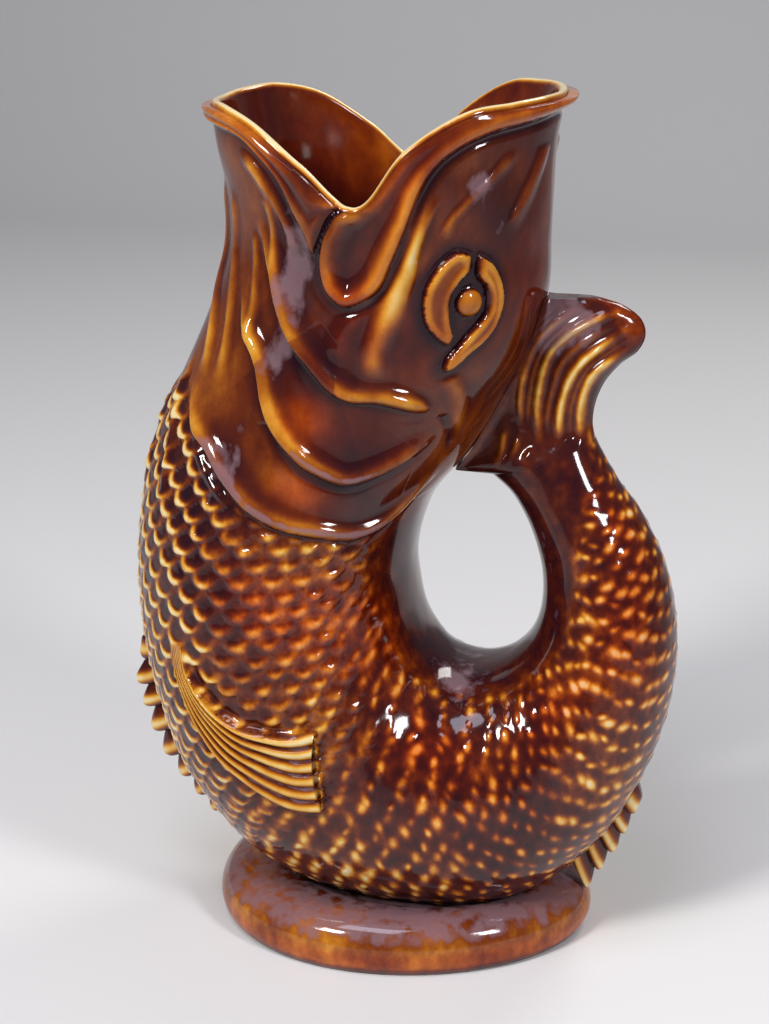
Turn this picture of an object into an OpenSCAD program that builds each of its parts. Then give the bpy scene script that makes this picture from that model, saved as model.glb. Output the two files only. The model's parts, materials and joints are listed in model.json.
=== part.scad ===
// A fish-shaped pouring jug in glazed earthenware, standing on an oval foot.
// Millimetres. +Z is up, +X points to the tail that forms the handle, and -Y is the fish's left side.
// The origin is on the table, under the middle of the jug.

/* [Jug] */
// Height of the upper jaw's top over the table
jug_h = 254; // [220:1:290]
// Reach of the belly in front of the axis
belly_reach = 75; // [68:0.5:82]
// Reach of the tail behind the axis
tail_reach = 85.6; // [80:0.1:94]
// Width across the mouth
mouth_w = 94; // [84:1:104]
// Width across the belly
belly_w = 94; // [84:1:104]
// Width across the tail beside the loop
tail_w = 48; // [40:1:54]
// Thickness of the clay wall
wall = 4; // [3:0.1:5]
// Thickness of the wall at the mouth rim
rim_wall = 3; // [2.2:0.1:3.8]

/* [Handle loop] */
// Width of the loop's opening
loop_w = 38.4; // [34:0.2:42]
// Height of the loop's opening
loop_h = 61; // [54:0.5:66]
// Middle of the opening behind the axis
loop_x = 26.5; // [25:0.1:28]
// Middle of the opening over the table
loop_z = 114; // [111:0.5:117]

/* [Foot] */
// Length of the foot
foot_l = 116.6; // [106:0.2:122]
// Width of the foot
foot_w = 92; // [84:1:100]
// Height of the foot
foot_h = 16; // [13.5:0.1:19]
// Middle of the foot behind the axis
foot_x = 4.5; // [2:0.1:7]
// Height of the seat that carries the body
seat_h = 13.6; // [11.5:0.1:15]
// Width of the bare ring that the jug stands on
foot_ring = 9; // [6:0.5:12]
// Depth of the hollow under the foot
foot_hollow = 2.5; // [1:0.1:4]

/* [Lips and cheeks] */
// Height that the lips stand out
lip_out = 2.6; // [1.8:0.1:3.4]
// Width of the lower lip beside the spout
lower_lip_w = 10; // [8:0.5:12]
// Height of the bulb at each corner of the mouth
corner_h = 27; // [24:0.5:30]
// Height that the gill covers stand out
gill_out = 3; // [2:0.1:4]
// Length of an eye ring
eye_l = 25; // [21:0.5:28]
// Width of an eye ring
eye_w = 22; // [19:0.5:25]
// Height that an eye ring stands out
eye_out = 2.6; // [1.8:0.1:3.4]
// Diameter of a pupil boss
pupil_d = 7.4; // [6:0.2:8.6]
// Height that a pupil boss stands out
pupil_out = 3.2; // [2.2:0.1:4]

/* [Fins and scales] */
// Height that the pectoral fins stand out
pectoral_out = 3.4; // [2.4:0.1:4.4]
// Height of the belly fin
belly_fin_h = 12.8; // [10:0.2:14]
// Thickness of the belly fin at its root
belly_fin_t = 6; // [4.5:0.1:8]
// Height of the vent fin
vent_fin_h = 12.6; // [10:0.2:13]
// Thickness of the vent fin at its root
vent_fin_t = 6; // [4.5:0.1:8]
// Height of the teeth of both fins
tooth_h = 2.2; // [1.5:0.1:3]
// Thickness of the tail fin at its top
tail_fin_t = 9.6; // [8:0.2:12]
// Depth of the grooves between the rays of a fin
ray_d = 0.8; // [0.4:0.1:1.2]
// Height that the scales of the body stand out
scale_out = 1; // [0.6:0.1:1.3]
// Gap left for the slip that sticks a member on
slip = 0.2; // [0.1:0.05:0.3]

/* [Hidden] */

// Colours of the glaze where it is thin, middling and pooled
amber = "#b8661a";
treacle = "#7a2f12";
aubergine = "#4a1c1a";

// Height over the table. Shares up to 1 reach the middle of the loop, and from there up to 2 the jug's top.
function rise(share) = share < 1 ? share * loop_z : mix(loop_z, jug_h, share - 1);

// The skin is swept by 22 rings, each between a point on the belly line and one on the back line.
// Belly line: x as a share of the belly's or the tail's reach, and the share of the rise
belly_shares = [
    [-0.673, 2.000], [-0.647, 1.900], [-0.611, 1.800], [-0.607, 1.701], [-0.660, 1.601], [-0.747, 1.487],
    [-0.853, 1.365], [-0.940, 1.236], [-0.993, 1.086], [-1.000, 0.905], [-0.953, 0.675], [-0.807, 0.403],
    [-0.480, 0.163], [0.023, 0.067], [0.460, 0.098], [0.770, 0.281], [0.935, 0.521], [1.000, 0.755],
    [0.975, 0.974], [0.882, 1.122], [0.765, 1.222], [0.695, 1.300]];
// Back line down the neck: x as a share of the tail's reach, and the share of the rise
neck_shares = [
    [0.572, 2.000], [0.537, 1.900], [0.530, 1.800], [0.526, 1.701], [0.523, 1.601], [0.479, 1.499],
    [0.409, 1.399], [0.304, 1.285]];
// Back line round the loop: shares of the opening's half width and half height
loop_shares = [
    [-0.70, 0.75], [-0.99, 0.16], [-0.95, -0.30], [-0.78, -0.66], [-0.49, -0.89], [-0.13, -0.97],
    [0.23, -0.93], [0.57, -0.80], [0.86, -0.57], [1.00, -0.25], [0.98, 0.13], [0.80, 0.49], [0.55, 0.79],
    [0.18, 1.00]];
// Half widths of the rings: shares of the mouth's, the belly's and the tail's half width
mouth_w_shares = [1.000, 0.979, 0.957, 0.926, 0.915, 0.915];
belly_w_shares = [0.926, 0.947, 0.979, 1.000, 1.000, 0.979, 0.926, 0.862, 0.787, 0.691, 0.596];
tail_w_shares = [1.000, 0.833, 0.708, 0.583, 0.500];
// Fullness of each ring's sides, 1 for an ellipse and less for a squarer ring
full_shares = [0.92, 0.92, 0.94, 0.96, 0.96, 0.96, 0.96, 0.96, 0.96, 0.96, 0.95, 0.93, 0.90, 0.88, 0.90,
    0.93, 0.96, 0.96, 0.96, 0.96, 0.96, 0.96];
// Drop of the rim below the jug's top, from the back (first) to the spout (last), as shares of the height
rim_drop_shares = [0.002, 0.001, 0.003, 0.010, 0.045, 0.105, 0.064, 0.028, 0.014, 0.014, 0.016];
// Ring number at which the head meets the body, from the back to the belly
neck_seam_shares = [7.60, 7.75, 7.95, 7.45, 6.50, 5.80, 5.60];

ring_n = 40;
last_ring = len(belly_shares) - 1;
tail_from_share = 16.5;
head_rows = 12;
head_inner_rows = 7;
body_rows = 32;
body_inner_rows = 12;
tail_rows = 10;
tail_inner_rows = 6;

belly_line = [for (s = belly_shares) [s.x * (s.x < 0 ? belly_reach : tail_reach), rise(s.y)]];
back_line = concat(
    [for (s = neck_shares) [s.x * tail_reach, rise(s.y)]],
    [for (s = loop_shares) [loop_x + s.x * loop_w / 2, loop_z + s.y * loop_h / 2]]);
half_widths = concat(
    [for (s = mouth_w_shares) s * mouth_w / 2],
    [for (s = belly_w_shares) s * belly_w / 2],
    [for (s = tail_w_shares) s * tail_w / 2]);

// Value of a list at any place along it, on a smooth curve through its entries
function along(list, t) =
    let (top = len(list) - 1, i = max(0, min(floor(t), top - 1)), f = min(t, top) - i,
        b = list[i], c = list[i + 1],
        a = i > 0 ? list[i - 1] : 2 * b - c,
        d = i + 2 <= top ? list[i + 2] : 2 * c - b)
    (2 * b + (c - a) * f + (2 * a - 5 * b + 4 * c - d) * f * f + (3 * b - a - 3 * c + d) * f * f * f) / 2;

// Sine raised to a power, with its sign kept
function full_sin(a, p) = sign(sin(a)) * pow(abs(sin(a)), p);

// Point of the skin at ring t and angle a from the back, lifted out by h. Angles up to 180 are on the left.
function skin(t, a, h = 0) =
    let (b = along(belly_line, t), k = along(back_line, t), m = (b + k) / 2, d = (k - b) / 2, l = norm(d),
        e = d * ((l + h) / l * cos(a)))
    [m.x + e.x, -(along(half_widths, t) + h) * full_sin(a, along(full_shares, t)), m.y + e.y];

// Share of the way from the back to the belly, alike on both sides
function side_share(a) = abs(a > 180 ? a - 360 : a) / 180;
ring_pitch = (belly_line[0].y - belly_line[3].y) / 3;
function rim_t(a) = along(rim_drop_shares, side_share(a) * (len(rim_drop_shares) - 1)) * jug_h / ring_pitch;
function gill_t(a) = along(neck_seam_shares, side_share(a) * (len(neck_seam_shares) - 1));

function mix(a, b, f) = a + (b - a) * f;
function flip(list) = [for (i = [len(list) - 1:-1:0]) list[i]];
function lift_z(p, z) = [p.x, p.y, max(p.z, z)];
// Keeps a point over the foot, if it isn't behind the foot's end
function clear_foot(p) = p.x < foot_x + foot_l / 2 + slip ? lift_z(p, foot_h + slip) : p;
// Rise from a least share at both ends of a member (u 0 and 1) to its whole height in the middle
function swell(u, least) = least + (1 - least) * sqrt(max(0, sin(180 * u)));

// Closed solid through rings of points. Joined, the last ring meets the first; else both ends are capped.
// The strip that joins them is cut along the other diagonal, so that it matches a neighbour's end. The
// diagonals of the first woven strips alternate, so that every other corner can stand out alone.
module ring_solid(rings, joined, woven = 0) {
    n = len(rings[0]);
    m = len(rings);
    last = joined ? m - 1 : m - 2;
    sides = [for (i = [0:last], j = [0:n - 1])
        let (a = i * n + j, b = i * n + (j + 1) % n,
            d = ((i + 1) % m) * n + j, c = ((i + 1) % m) * n + (j + 1) % n)
        each i == m - 1 || (i < woven && (i + j) % 2 == 0) ? [[a, d, b], [b, d, c]] : [[a, c, b], [a, d, c]]];
    middles = joined ? [] : [mean(rings[0]), mean(rings[m - 1])];
    caps = joined ? [] : [for (j = [0:n - 1])
        each [[m * n, j, (j + 1) % n], [m * n + 1, (m - 1) * n + (j + 1) % n, (m - 1) * n + j]]];
    polyhedron(points = concat([for (r = rings) each r], middles), faces = concat(sides, caps));
}

function mean(list) = [for (p = list) 1] * list / len(list);

// Closed solid between an outer and an inner sheet of points, row by row
module sheet_solid(outer, inner) {
    rings = [for (i = [0:len(outer) - 1]) concat(outer[i], flip(inner[i]))];
    n = len(rings[0]);
    m = len(rings);
    half = n / 2;
    sides = [for (i = [0:m - 2], j = [0:n - 1])
        let (a = i * n + j, b = i * n + (j + 1) % n, c = (i + 1) * n + (j + 1) % n, d = (i + 1) * n + j)
        each [[a, c, b], [a, d, c]]];
    ends = [for (j = [0:half - 2], e = [0, 1])
        let (o = e * (m - 1) * n, a = o + j, b = o + j + 1, c = o + n - 2 - j, d = o + n - 1 - j)
        each e == 0 ? [[a, b, c], [a, c, d]] : [[a, c, b], [a, d, c]]];
    polyhedron(points = [for (r = rings) each r], faces = concat(sides, ends));
}

// Ring of skin points share f of the way between two lists of ring numbers, lifted out by h
function skin_ring(from, to, f, h = 0) =
    [for (j = [0:ring_n - 1]) skin(mix(from[j], to[j], f), ring_angles[j], h)];

ring_angles = [for (j = [0:ring_n - 1]) j * 360 / ring_n];
rim_places = [for (a = ring_angles) rim_t(a)];
gill_places = [for (a = ring_angles) gill_t(a)];
tail_places = [for (a = ring_angles) tail_from_share];
end_places = [for (a = ring_angles) last_ring];

module head() {
    outer = [for (i = [0:head_rows]) skin_ring(rim_places, gill_places, i / head_rows)];
    inner = [for (i = [0:head_inner_rows])
        let (f = i / head_inner_rows, thick = mix(rim_wall, wall, min(1, 3 * f)))
        skin_ring(rim_places, gill_places, f, -thick)];
    color(treacle) placed() ring_solid(concat(outer, flip(inner)), true);
}

// Scales: every other corner of the body's net stands out and leans to the tail. They begin at a ring number
// and stop at the smooth strip down the back, whose edge is a list of [ring number, angle].
scale_from_share = 7.2;
strip_shares = [[7.00, 42], [8.70, 34], [9.70, 26], [10.80, 21], [12.20, 18], [14.00, 22], [16.00, 40],
    [16.90, 54]];
scale_lean_share = 0.3;
// Least distance from a stuck-on member, in rows and columns of the net
scale_gap_share = 1.3;

// True where a scale stands: at ring t and angle b, with the net's steps there
function has_scale(t, b, t_step, b_step) =
    t > max(scale_from_share, lookup(b, gill_edge_shares)) && b > lookup(t, strip_shares) + b_step / 2
    && skin(t, b).z > seat_h + ring_pitch / 2
    && min([for (p = member_places) max(abs(p.x - t) / t_step, abs(p.y - b) / b_step)]) > scale_gap_share;

// Point of the body's net at row i and column j
function body_point(i, j) =
    let (step = (tail_from_share - gill_places[j]) / body_rows, t = gill_places[j] + i * step,
        scaled = (i + j) % 2 == 0 && i < body_rows
            && has_scale(t, side_share(ring_angles[j]) * 180, step, 360 / ring_n))
    scaled ? skin(t + scale_lean_share * step, ring_angles[j], scale_out) : skin(t, ring_angles[j]);

module body() {
    outer = [for (i = [0:body_rows]) [for (j = [0:ring_n - 1]) lift_z(body_point(i, j), seat_h)]];
    inner = [for (i = [0:body_inner_rows])
        let (ring = skin_ring(gill_places, tail_places, i / body_inner_rows, -wall))
        [for (p = ring) lift_z(p, seat_h + wall)]];
    color(treacle) placed() ring_solid(concat(outer, flip(inner)), true, body_rows);
}

module tail() {
    outer = [for (i = [0:tail_rows]) skin_ring(tail_places, end_places, i / tail_rows)];
    inner = [for (i = [0:tail_inner_rows]) skin_ring(tail_places, end_places, i / tail_inner_rows, -wall)];
    color(treacle) placed() ring_solid(concat(outer, flip(inner)), true);
}

// The foot is an oval pad, wider under the belly. Its rings are shares of its size, from the bottom up.
foot_ring_shares = [[0.930, -0.100], [0.955, 0.000], [0.985, 0.130], [1.000, 0.370], [0.988, 0.600],
    [0.950, 0.810], [0.885, 0.950], [0.800, 1.000]];
foot_egg_share = 0.1;
foot_n = 48;
// Points of an oval with these half sizes, at angles from the back
function foot_oval(half_l, half_w) = [for (j = [0:foot_n - 1])
    let (a = j * 360 / foot_n) [foot_x + half_l * cos(a), half_w * sin(a) * (1 - foot_egg_share * cos(a))]];
function foot_row(share, z) = [for (p = foot_oval(foot_l / 2 * share, foot_w / 2 * share)) [p.x, p.y, z]];

// The top dips to a flat seat, whose ends are shares of the belly's and the tail's reach and whose width is a
// share of the belly's. Each row of the dip is its share of the way to the seat, and its share of the drop.
seat_front_share = 0.367;
seat_back_share = 0.55;
seat_w_share = 0.56;
dip_shares = [[0.60, 0.20], [1, 1]];

module foot() {
    front = -seat_front_share * belly_reach;
    back = seat_back_share * tail_reach;
    top = foot_row(foot_ring_shares[len(foot_ring_shares) - 1].x, foot_h);
    seat = [for (j = [0:foot_n - 1]) let (a = j * 360 / foot_n)
        [mix(front, back, (1 + cos(a)) / 2), seat_w_share * belly_w / 2 * sin(a), seat_h]];
    dip = [for (s = dip_shares) [for (j = [0:foot_n - 1])
        [mix(top[j].x, seat[j].x, s.x), mix(top[j].y, seat[j].y, s.x), mix(foot_h, seat_h, s.y)]]];
    bottom_share = foot_ring_shares[1].x;
    color(amber) placed() difference() {
        ring_solid(concat([for (s = foot_ring_shares) foot_row(s.x, s.y * foot_h)], dip), false);
        translate([0, 0, -foot_h]) cube([3 * foot_l, 3 * foot_w, 2 * foot_h], center = true);
        translate([0, 0, -foot_h]) linear_extrude(foot_h + foot_hollow)
            polygon(foot_oval(foot_l / 2 * bottom_share - foot_ring, foot_w / 2 * bottom_share - foot_ring));
    }
}

// The tail fin fans out of the tail's end and leans on the neck. Each place of its outer edge is
// [x share of the tail's reach, share of the rise], beside the ring number where it meets the neck.
fin_edge_shares = [[0.695, 1.300], [0.685, 1.336], [0.693, 1.378], [0.721, 1.421], [0.768, 1.458],
    [0.824, 1.487], [0.847, 1.521], [0.829, 1.554], [0.771, 1.579], [0.701, 1.592]];
fin_root_shares = [7.75, 7.35, 6.90, 6.30, 5.75, 5.30, 4.85, 4.50, 4.25, 4.10];
// Half thickness at each place, from the tail's own (1) to the tail fin's at its top (0)
fin_taper_shares = [1, 0.80, 0.65, 0.50, 0.42, 0.30, 0.24, 0.17, 0.08, 0];
// How much each place still has the tail's round section
fin_round_shares = [1, 0.50, 0.15, 0, 0, 0, 0, 0, 0, 0];
fin_rows = 14;
fin_foot_angle = 27;
fin_edge_power = 4;
ray_step = 3;

function tail_fin_point(t, j) =
    let (a = j * 360 / ring_n, b = a > 180 ? 360 - a : a, hand = a > 180 ? -1 : 1,
        u = max(0, b - fin_foot_angle) / (180 - fin_foot_angle),
        groove = b > fin_foot_angle && b < 180 && j % ray_step != 0 ? ray_d : 0,
        half = mix(tail_fin_t / 2, half_widths[last_ring], along(fin_taper_shares, t)),
        r = along(fin_round_shares, t),
        f = mix(sin(90 * u), (1 - cos(b)) / 2, r),
        flat_y = b < fin_foot_angle ? b / fin_foot_angle : sqrt(1 - pow(sin(90 * u), fin_edge_power)),
        full_y = mix(flat_y, full_sin(b, full_shares[last_ring]), r),
        y = half * full_y - groove * min(1, 4 * (1 - u)) * (1 - r),
        ring = along(fin_root_shares, t),
        near = skin(ring, asin(y / along(half_widths, ring)), slip),
        e = along(fin_edge_shares, t), far = [e.x * tail_reach, rise(e.y)])
    [mix(near.x, far.x, f), -hand * y, mix(near.z, far.y, f)];

module tail_fin() {
    root = skin_ring(end_places, end_places, 0);
    fan = [for (i = [1:fin_rows]) let (t = i * (len(fin_edge_shares) - 1) / fin_rows)
        [for (j = [0:ring_n - 1]) tail_fin_point(t, j)]];
    color(amber) placed() ring_solid(concat([root], fan), false);
}

// Member stuck on the skin. Its places are rows of [ring number, angle, share of the height it stands out].
module member(places, out) {
    sheet_solid([for (row = places) [for (p = row) skin(p.x, p.y, slip + out * p.z)]],
        [for (row = places) [for (p = row) skin(p.x, p.y, slip)]]);
}

// Rows of places between two edges, which are lists of [ring number, angle]
function between(edge, other, rows, cols) = [for (i = [0:rows])
    let (s = i / rows * (len(edge) - 1), p = along(edge, s), q = along(other, s))
    [for (j = [0:cols]) mix(p, q, j / cols)]];

// Lower lip: a band below the rim from one corner of the mouth round the spout to the other.
// Width of the band from the corner (first) to the spout (last), as shares of its width beside the spout
lower_lip_w_shares = [2.50, 1.35, 0.62, 0.60, 0.58, 0.55, 0.52];
lower_lip_from = 104;
lower_lip_rows = 24;
lip_profile_shares = [0.55, 0.90, 1.00, 0.75, 0.20];
lip_cols = len(lip_profile_shares) - 1;

module lower_lip() {
    places = [for (i = [lower_lip_rows:-1:0])
        let (a = mix(lower_lip_from, 360 - lower_lip_from, i / lower_lip_rows),
            s = (side_share(a) * 180 - lower_lip_from) / (180 - lower_lip_from),
            w = along(lower_lip_w_shares, s * (len(lower_lip_w_shares) - 1)) * lower_lip_w / ring_pitch)
        [for (j = [0:lip_cols]) [rim_t(a) + w * j / lip_cols, a, lip_profile_shares[j]]]];
    color(amber) placed() member(places, lip_out);
}

// Upper lip: a narrow band along the back of the mouth that widens into a bulb at each corner.
// Width of the band from the back (first) to the corner (last), as shares of the bulb's height
upper_lip_w_shares = [0.17, 0.19, 0.19, 0.18, 0.18, 0.22, 0.45, 1.00, 0.60];
upper_lip_out_share = 0.7;
upper_lip_to = 102;
upper_lip_rows = 36;

module upper_lip() {
    places = [for (i = [upper_lip_rows:-1:0])
        let (a = mix(-upper_lip_to, upper_lip_to, i / upper_lip_rows),
            s = side_share(a) * 180 / upper_lip_to,
            w_share = along(upper_lip_w_shares, s * (len(upper_lip_w_shares) - 1)),
            bulge = mix(upper_lip_out_share, 1, min(1, 2 * w_share)))
        [for (j = [0:lip_cols])
            [rim_t(a) + w_share * corner_h / ring_pitch * j / lip_cols, a, lip_profile_shares[j] * bulge]]];
    color(amber) placed() member(places, lip_out);
}

// Gill covers: three leaves that overlap towards the body. Each line is a list of places on the skin, from
// the throat (first) up to the back of the eye (last). A place is [ring number, angle from the back].
cheek_shares = [[2.05, 128], [2.90, 118], [3.70, 106], [4.20, 96], [4.65, 86], [4.95, 76], [5.10, 66],
    [5.20, 58], [5.30, 50]];
gill_1_shares = [[2.40, 131], [3.40, 121], [4.20, 111], [4.80, 101], [5.20, 91], [5.50, 81], [5.60, 71],
    [5.75, 60], [5.80, 51]];
gill_2_shares = [[4.20, 130], [4.92, 117], [5.60, 108], [6.08, 100], [6.50, 90], [6.76, 80], [7.02, 68],
    [6.90, 56], [6.60, 46]];
gill_3_shares = [[6.00, 130], [6.52, 121], [6.96, 110], [7.30, 100], [7.55, 88], [7.75, 76], [7.95, 62],
    [8.08, 48], [7.85, 34]];
// Steps across the cover: how far through its four lines (0 to 3), and the share of its height there
gill_step_shares = [[0, 0.10], [0.70, 0.75], [1, 0.80], [1.12, 0.30], [1.60, 0.75], [2, 0.95], [2.12, 0.35],
    [2.60, 0.85], [3, 1]];
gill_end_share = 0.35;
gill_rows = 16;

module gill_cover() {
    last = len(cheek_shares) - 1;
    places = [for (i = [0:gill_rows])
        let (s = i / gill_rows * last, full = swell(i / gill_rows, gill_end_share),
            all_lines = [cheek_shares, gill_1_shares, gill_2_shares, gill_3_shares],
            lines = [for (line = all_lines) along(line, s)])
        [for (q = gill_step_shares)
            let (p = mix(lines[floor(q.x)], lines[ceil(q.x)], q.x - floor(q.x))) [p.x, p.y, q.y * full]]];
    color(treacle) placed() member(places, gill_out);
}

// Eyes: places are shares of the ring's half width (towards the spout) and half length (down)
// from the eye's middle. Each ring is a front arm and a back arm with a tail.
eye_ring_share = 3.68;
eye_angle = 53;
front_outer_shares = [[-0.15, -0.92], [0.30, -1.00], [0.75, -0.65], [0.96, -0.10], [0.88, 0.42],
    [0.58, 0.76], [0.10, 1.00]];
front_inner_shares = [[-0.15, -0.75], [-0.05, -0.55], [0.20, -0.36], [0.38, -0.05], [0.38, 0.30],
    [0.26, 0.60], [0.08, 0.92]];
back_outer_shares = [[-0.45, -0.92], [-0.80, -0.65], [-1.04, -0.20], [-1.07, 0.30], [-0.90, 0.85],
    [-0.50, 1.22], [-0.22, 1.55]];
back_inner_shares = [[-0.38, -0.78], [-0.42, -0.45], [-0.68, -0.10], [-0.73, 0.30], [-0.50, 0.65],
    [-0.15, 1.03], [0.02, 1.45]];
pupil_place_share = [-0.17, 0.10];
// The pupil's dome: shares of its radius and of its height
pupil_profile_shares = [[1.00, 0], [0.98, 0.40], [0.80, 0.80], [0.45, 1.00]];
eye_profile_shares = [0.15, 0.85, 1.00, 0.85, 0.15];
eye_end_share = 0.45;
eye_rows = 10;
pupil_n = 16;
degree_l = half_widths[3] * PI / 180;

function eye_place(s) =
    [eye_ring_share + s.y * eye_l / 2 / ring_pitch, eye_angle + s.x * eye_w / 2 / degree_l];

module eye_arm(outer, inner) {
    flat = between(outer, inner, eye_rows, len(eye_profile_shares) - 1);
    places = [for (i = [0:eye_rows]) let (full = swell(i / eye_rows, eye_end_share))
        [for (j = [0:len(flat[i]) - 1])
            let (p = eye_place(flat[i][j])) [p.x, p.y, eye_profile_shares[j] * full]]];
    member(places, eye_out);
}

module eye_ring_pair() {
    eye_arm(front_inner_shares, front_outer_shares);
    eye_arm(back_outer_shares, back_inner_shares);
}

module pupil() {
    middle = eye_place(pupil_place_share);
    color(amber) placed() ring_solid([for (s = pupil_profile_shares)
        [for (j = [0:pupil_n - 1]) let (a = j * 360 / pupil_n, r = s.x * pupil_d / 2)
            skin(middle.x + r * sin(a) / ring_pitch, middle.y + r * cos(a) / degree_l,
                slip + s.y * pupil_out)]], false);
}

// Pectoral fins: lists of [ring number, angle] along the upper and lower edges, from the root to the tip
pectoral_upper_shares = [[9.50, 116], [9.84, 113], [10.18, 106], [10.46, 98], [10.68, 89], [10.88, 80],
    [10.98, 71]];
pectoral_lower_shares = [[9.80, 119], [10.30, 117], [10.80, 112], [11.20, 107], [11.56, 102], [11.80, 97],
    [12.00, 92]];
pectoral_rays = 6;
ray_profile_shares = [0.60, 1.00, 0.90];
pectoral_root_share = 0.25;
pectoral_edge_share = 0.3;
// The rays part from this share of the fin's length, and thin out to a share of its height
pectoral_tip_from_share = 0.8;
pectoral_tip_share = 0.55;
pectoral_rows = 9;

module pectoral_fin() {
    cols = pectoral_rays * len(ray_profile_shares);
    flat = between(pectoral_upper_shares, pectoral_lower_shares, pectoral_rows, cols);
    places = [for (i = [0:pectoral_rows])
        let (u = i / pectoral_rows,
            tip = max(0, u - pectoral_tip_from_share) / (1 - pectoral_tip_from_share),
            full = mix(pectoral_root_share, 1, sqrt(min(1, 3 * u))) * mix(1, pectoral_tip_share, tip))
        [for (j = [0:cols])
            let (ray = j == cols ? 0 : j % len(ray_profile_shares),
                parted = ray == 0 ? pectoral_tip_from_share * tip : 0,
                edge = j == 0 || j == cols ? pectoral_edge_share : 1,
                h = mix(1, ray_profile_shares[ray], sqrt(u)),
                p = mix(flat[i][j], flat[max(0, i - 1)][j], parted))
            [p.x, p.y, h * full * edge]]];
    color(amber) placed() member(places, pectoral_out);
}

// A ridge fin stands on the belly line between two ring numbers. Its height follows a list of shares, and its
// edge has teeth that point to its end, with a groove between each two lobes. Each place of a tooth is
// [share of the tooth's length, share of its height, share of the fin's thickness there].
tooth_shares = [[0, 0, 0], [0.15, 0.25, 0.8], [0.60, 0.70, 1], [0.97, 1, 0.6]];
ridge_flank_share = 0.75;
ridge_end_share = 0.4;
function ridge_rows(from, to, teeth, height, h_shares, thick) = [
    for (k = [0:teeth - 1], q = tooth_shares)
        let (u = (k + q[0]) / teeth, t = mix(from, to, u),
            h = along(h_shares, u * (len(h_shares) - 1)) * height - tooth_h * (1 - q[1]),
            half = (thick / 2 - ray_d * (1 - q[2])) * min(1, ridge_end_share + 4 * u),
            spread = asin(half / along(half_widths, t)), flank = max(slip, h * ridge_flank_share))
        [skin(t, 180 - spread, slip), skin(t, 180 - spread / 2, flank), skin(t, 180, h),
            skin(t, 180 + spread / 2, flank), skin(t, 180 + spread, slip), skin(t, 180, slip)]];

belly_fin_from_share = 9.70;
belly_fin_to_share = 11.95;
belly_fin_teeth = 10;
belly_fin_h_shares = [0.40, 0.85, 1.02, 1.02, 1.00, 0.97, 0.90, 0.82, 0.74, 0.66, 0.60];
belly_fin_rows = [for (row = ridge_rows(belly_fin_from_share, belly_fin_to_share, belly_fin_teeth,
    belly_fin_h, belly_fin_h_shares, belly_fin_t)) [for (p = row) lift_z(p, foot_h + slip)]];

module belly_fin() {
    color(aubergine) placed() ring_solid(belly_fin_rows, false);
}

vent_fin_from_share = 15.65;
vent_fin_to_share = 14.62;
vent_fin_teeth = 5;
vent_fin_h_shares = [0.25, 0.42, 0.62, 0.68, 0.72, 1.05, 0.85];

module vent_fin() {
    rows = ridge_rows(vent_fin_from_share, vent_fin_to_share, vent_fin_teeth, vent_fin_h, vent_fin_h_shares,
        vent_fin_t);
    color(amber) placed() ring_solid(flip([for (row = rows) [for (p = row) clear_foot(p)]]), false);
}

// Places that the scales keep clear of: the gill covers' edge, the pectoral fins and both ridge fins
gill_edge_shares = [for (p = flip(gill_3_shares)) [p.y, p.x]];
pectoral_places = between(pectoral_upper_shares, pectoral_lower_shares, pectoral_rows, pectoral_rays);
member_places = concat(
    [for (i = [0:gill_rows]) along(gill_3_shares, i / gill_rows * (len(gill_3_shares) - 1))],
    [for (row = pectoral_places) each row],
    [for (u = [0:1 / belly_fin_teeth:1]) [mix(belly_fin_from_share, belly_fin_to_share, u), 180]],
    [for (u = [0:1 / vent_fin_teeth:1]) [mix(vent_fin_from_share, vent_fin_to_share, u), 180]]);

// Middle of the jug between the belly fin's tips and the tail
mid_x = (min([for (row = belly_fin_rows, p = row) p.x])
    + max([for (i = [0:tail_rows]) skin(mix(tail_from_share, last_ring, i / tail_rows), 180).x])) / 2;
module placed() { translate([-mid_x, 0, 0]) children(); }
module other_side() { mirror([0, 1, 0]) children(); }

module gill_cover_left() { gill_cover(); }
module gill_cover_right() { other_side() gill_cover(); }
module eye_ring_left() { color(amber) placed() eye_ring_pair(); }
module eye_ring_right() { other_side() eye_ring_left(); }
module pupil_left() { pupil(); }
module pupil_right() { other_side() pupil(); }
module pectoral_fin_left() { pectoral_fin(); }
module pectoral_fin_right() { other_side() pectoral_fin(); }

foot();
body();
head();
tail();
tail_fin();
lower_lip();
upper_lip();
gill_cover_left();
gill_cover_right();
eye_ring_left();
eye_ring_right();
pupil_left();
pupil_right();
pectoral_fin_left();
pectoral_fin_right();
belly_fin();
vent_fin();
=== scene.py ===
"""Dresses the solids of a fish-shaped pouring jug: carved relief, pooled glaze, studio and camera."""

import json
import math

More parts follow.
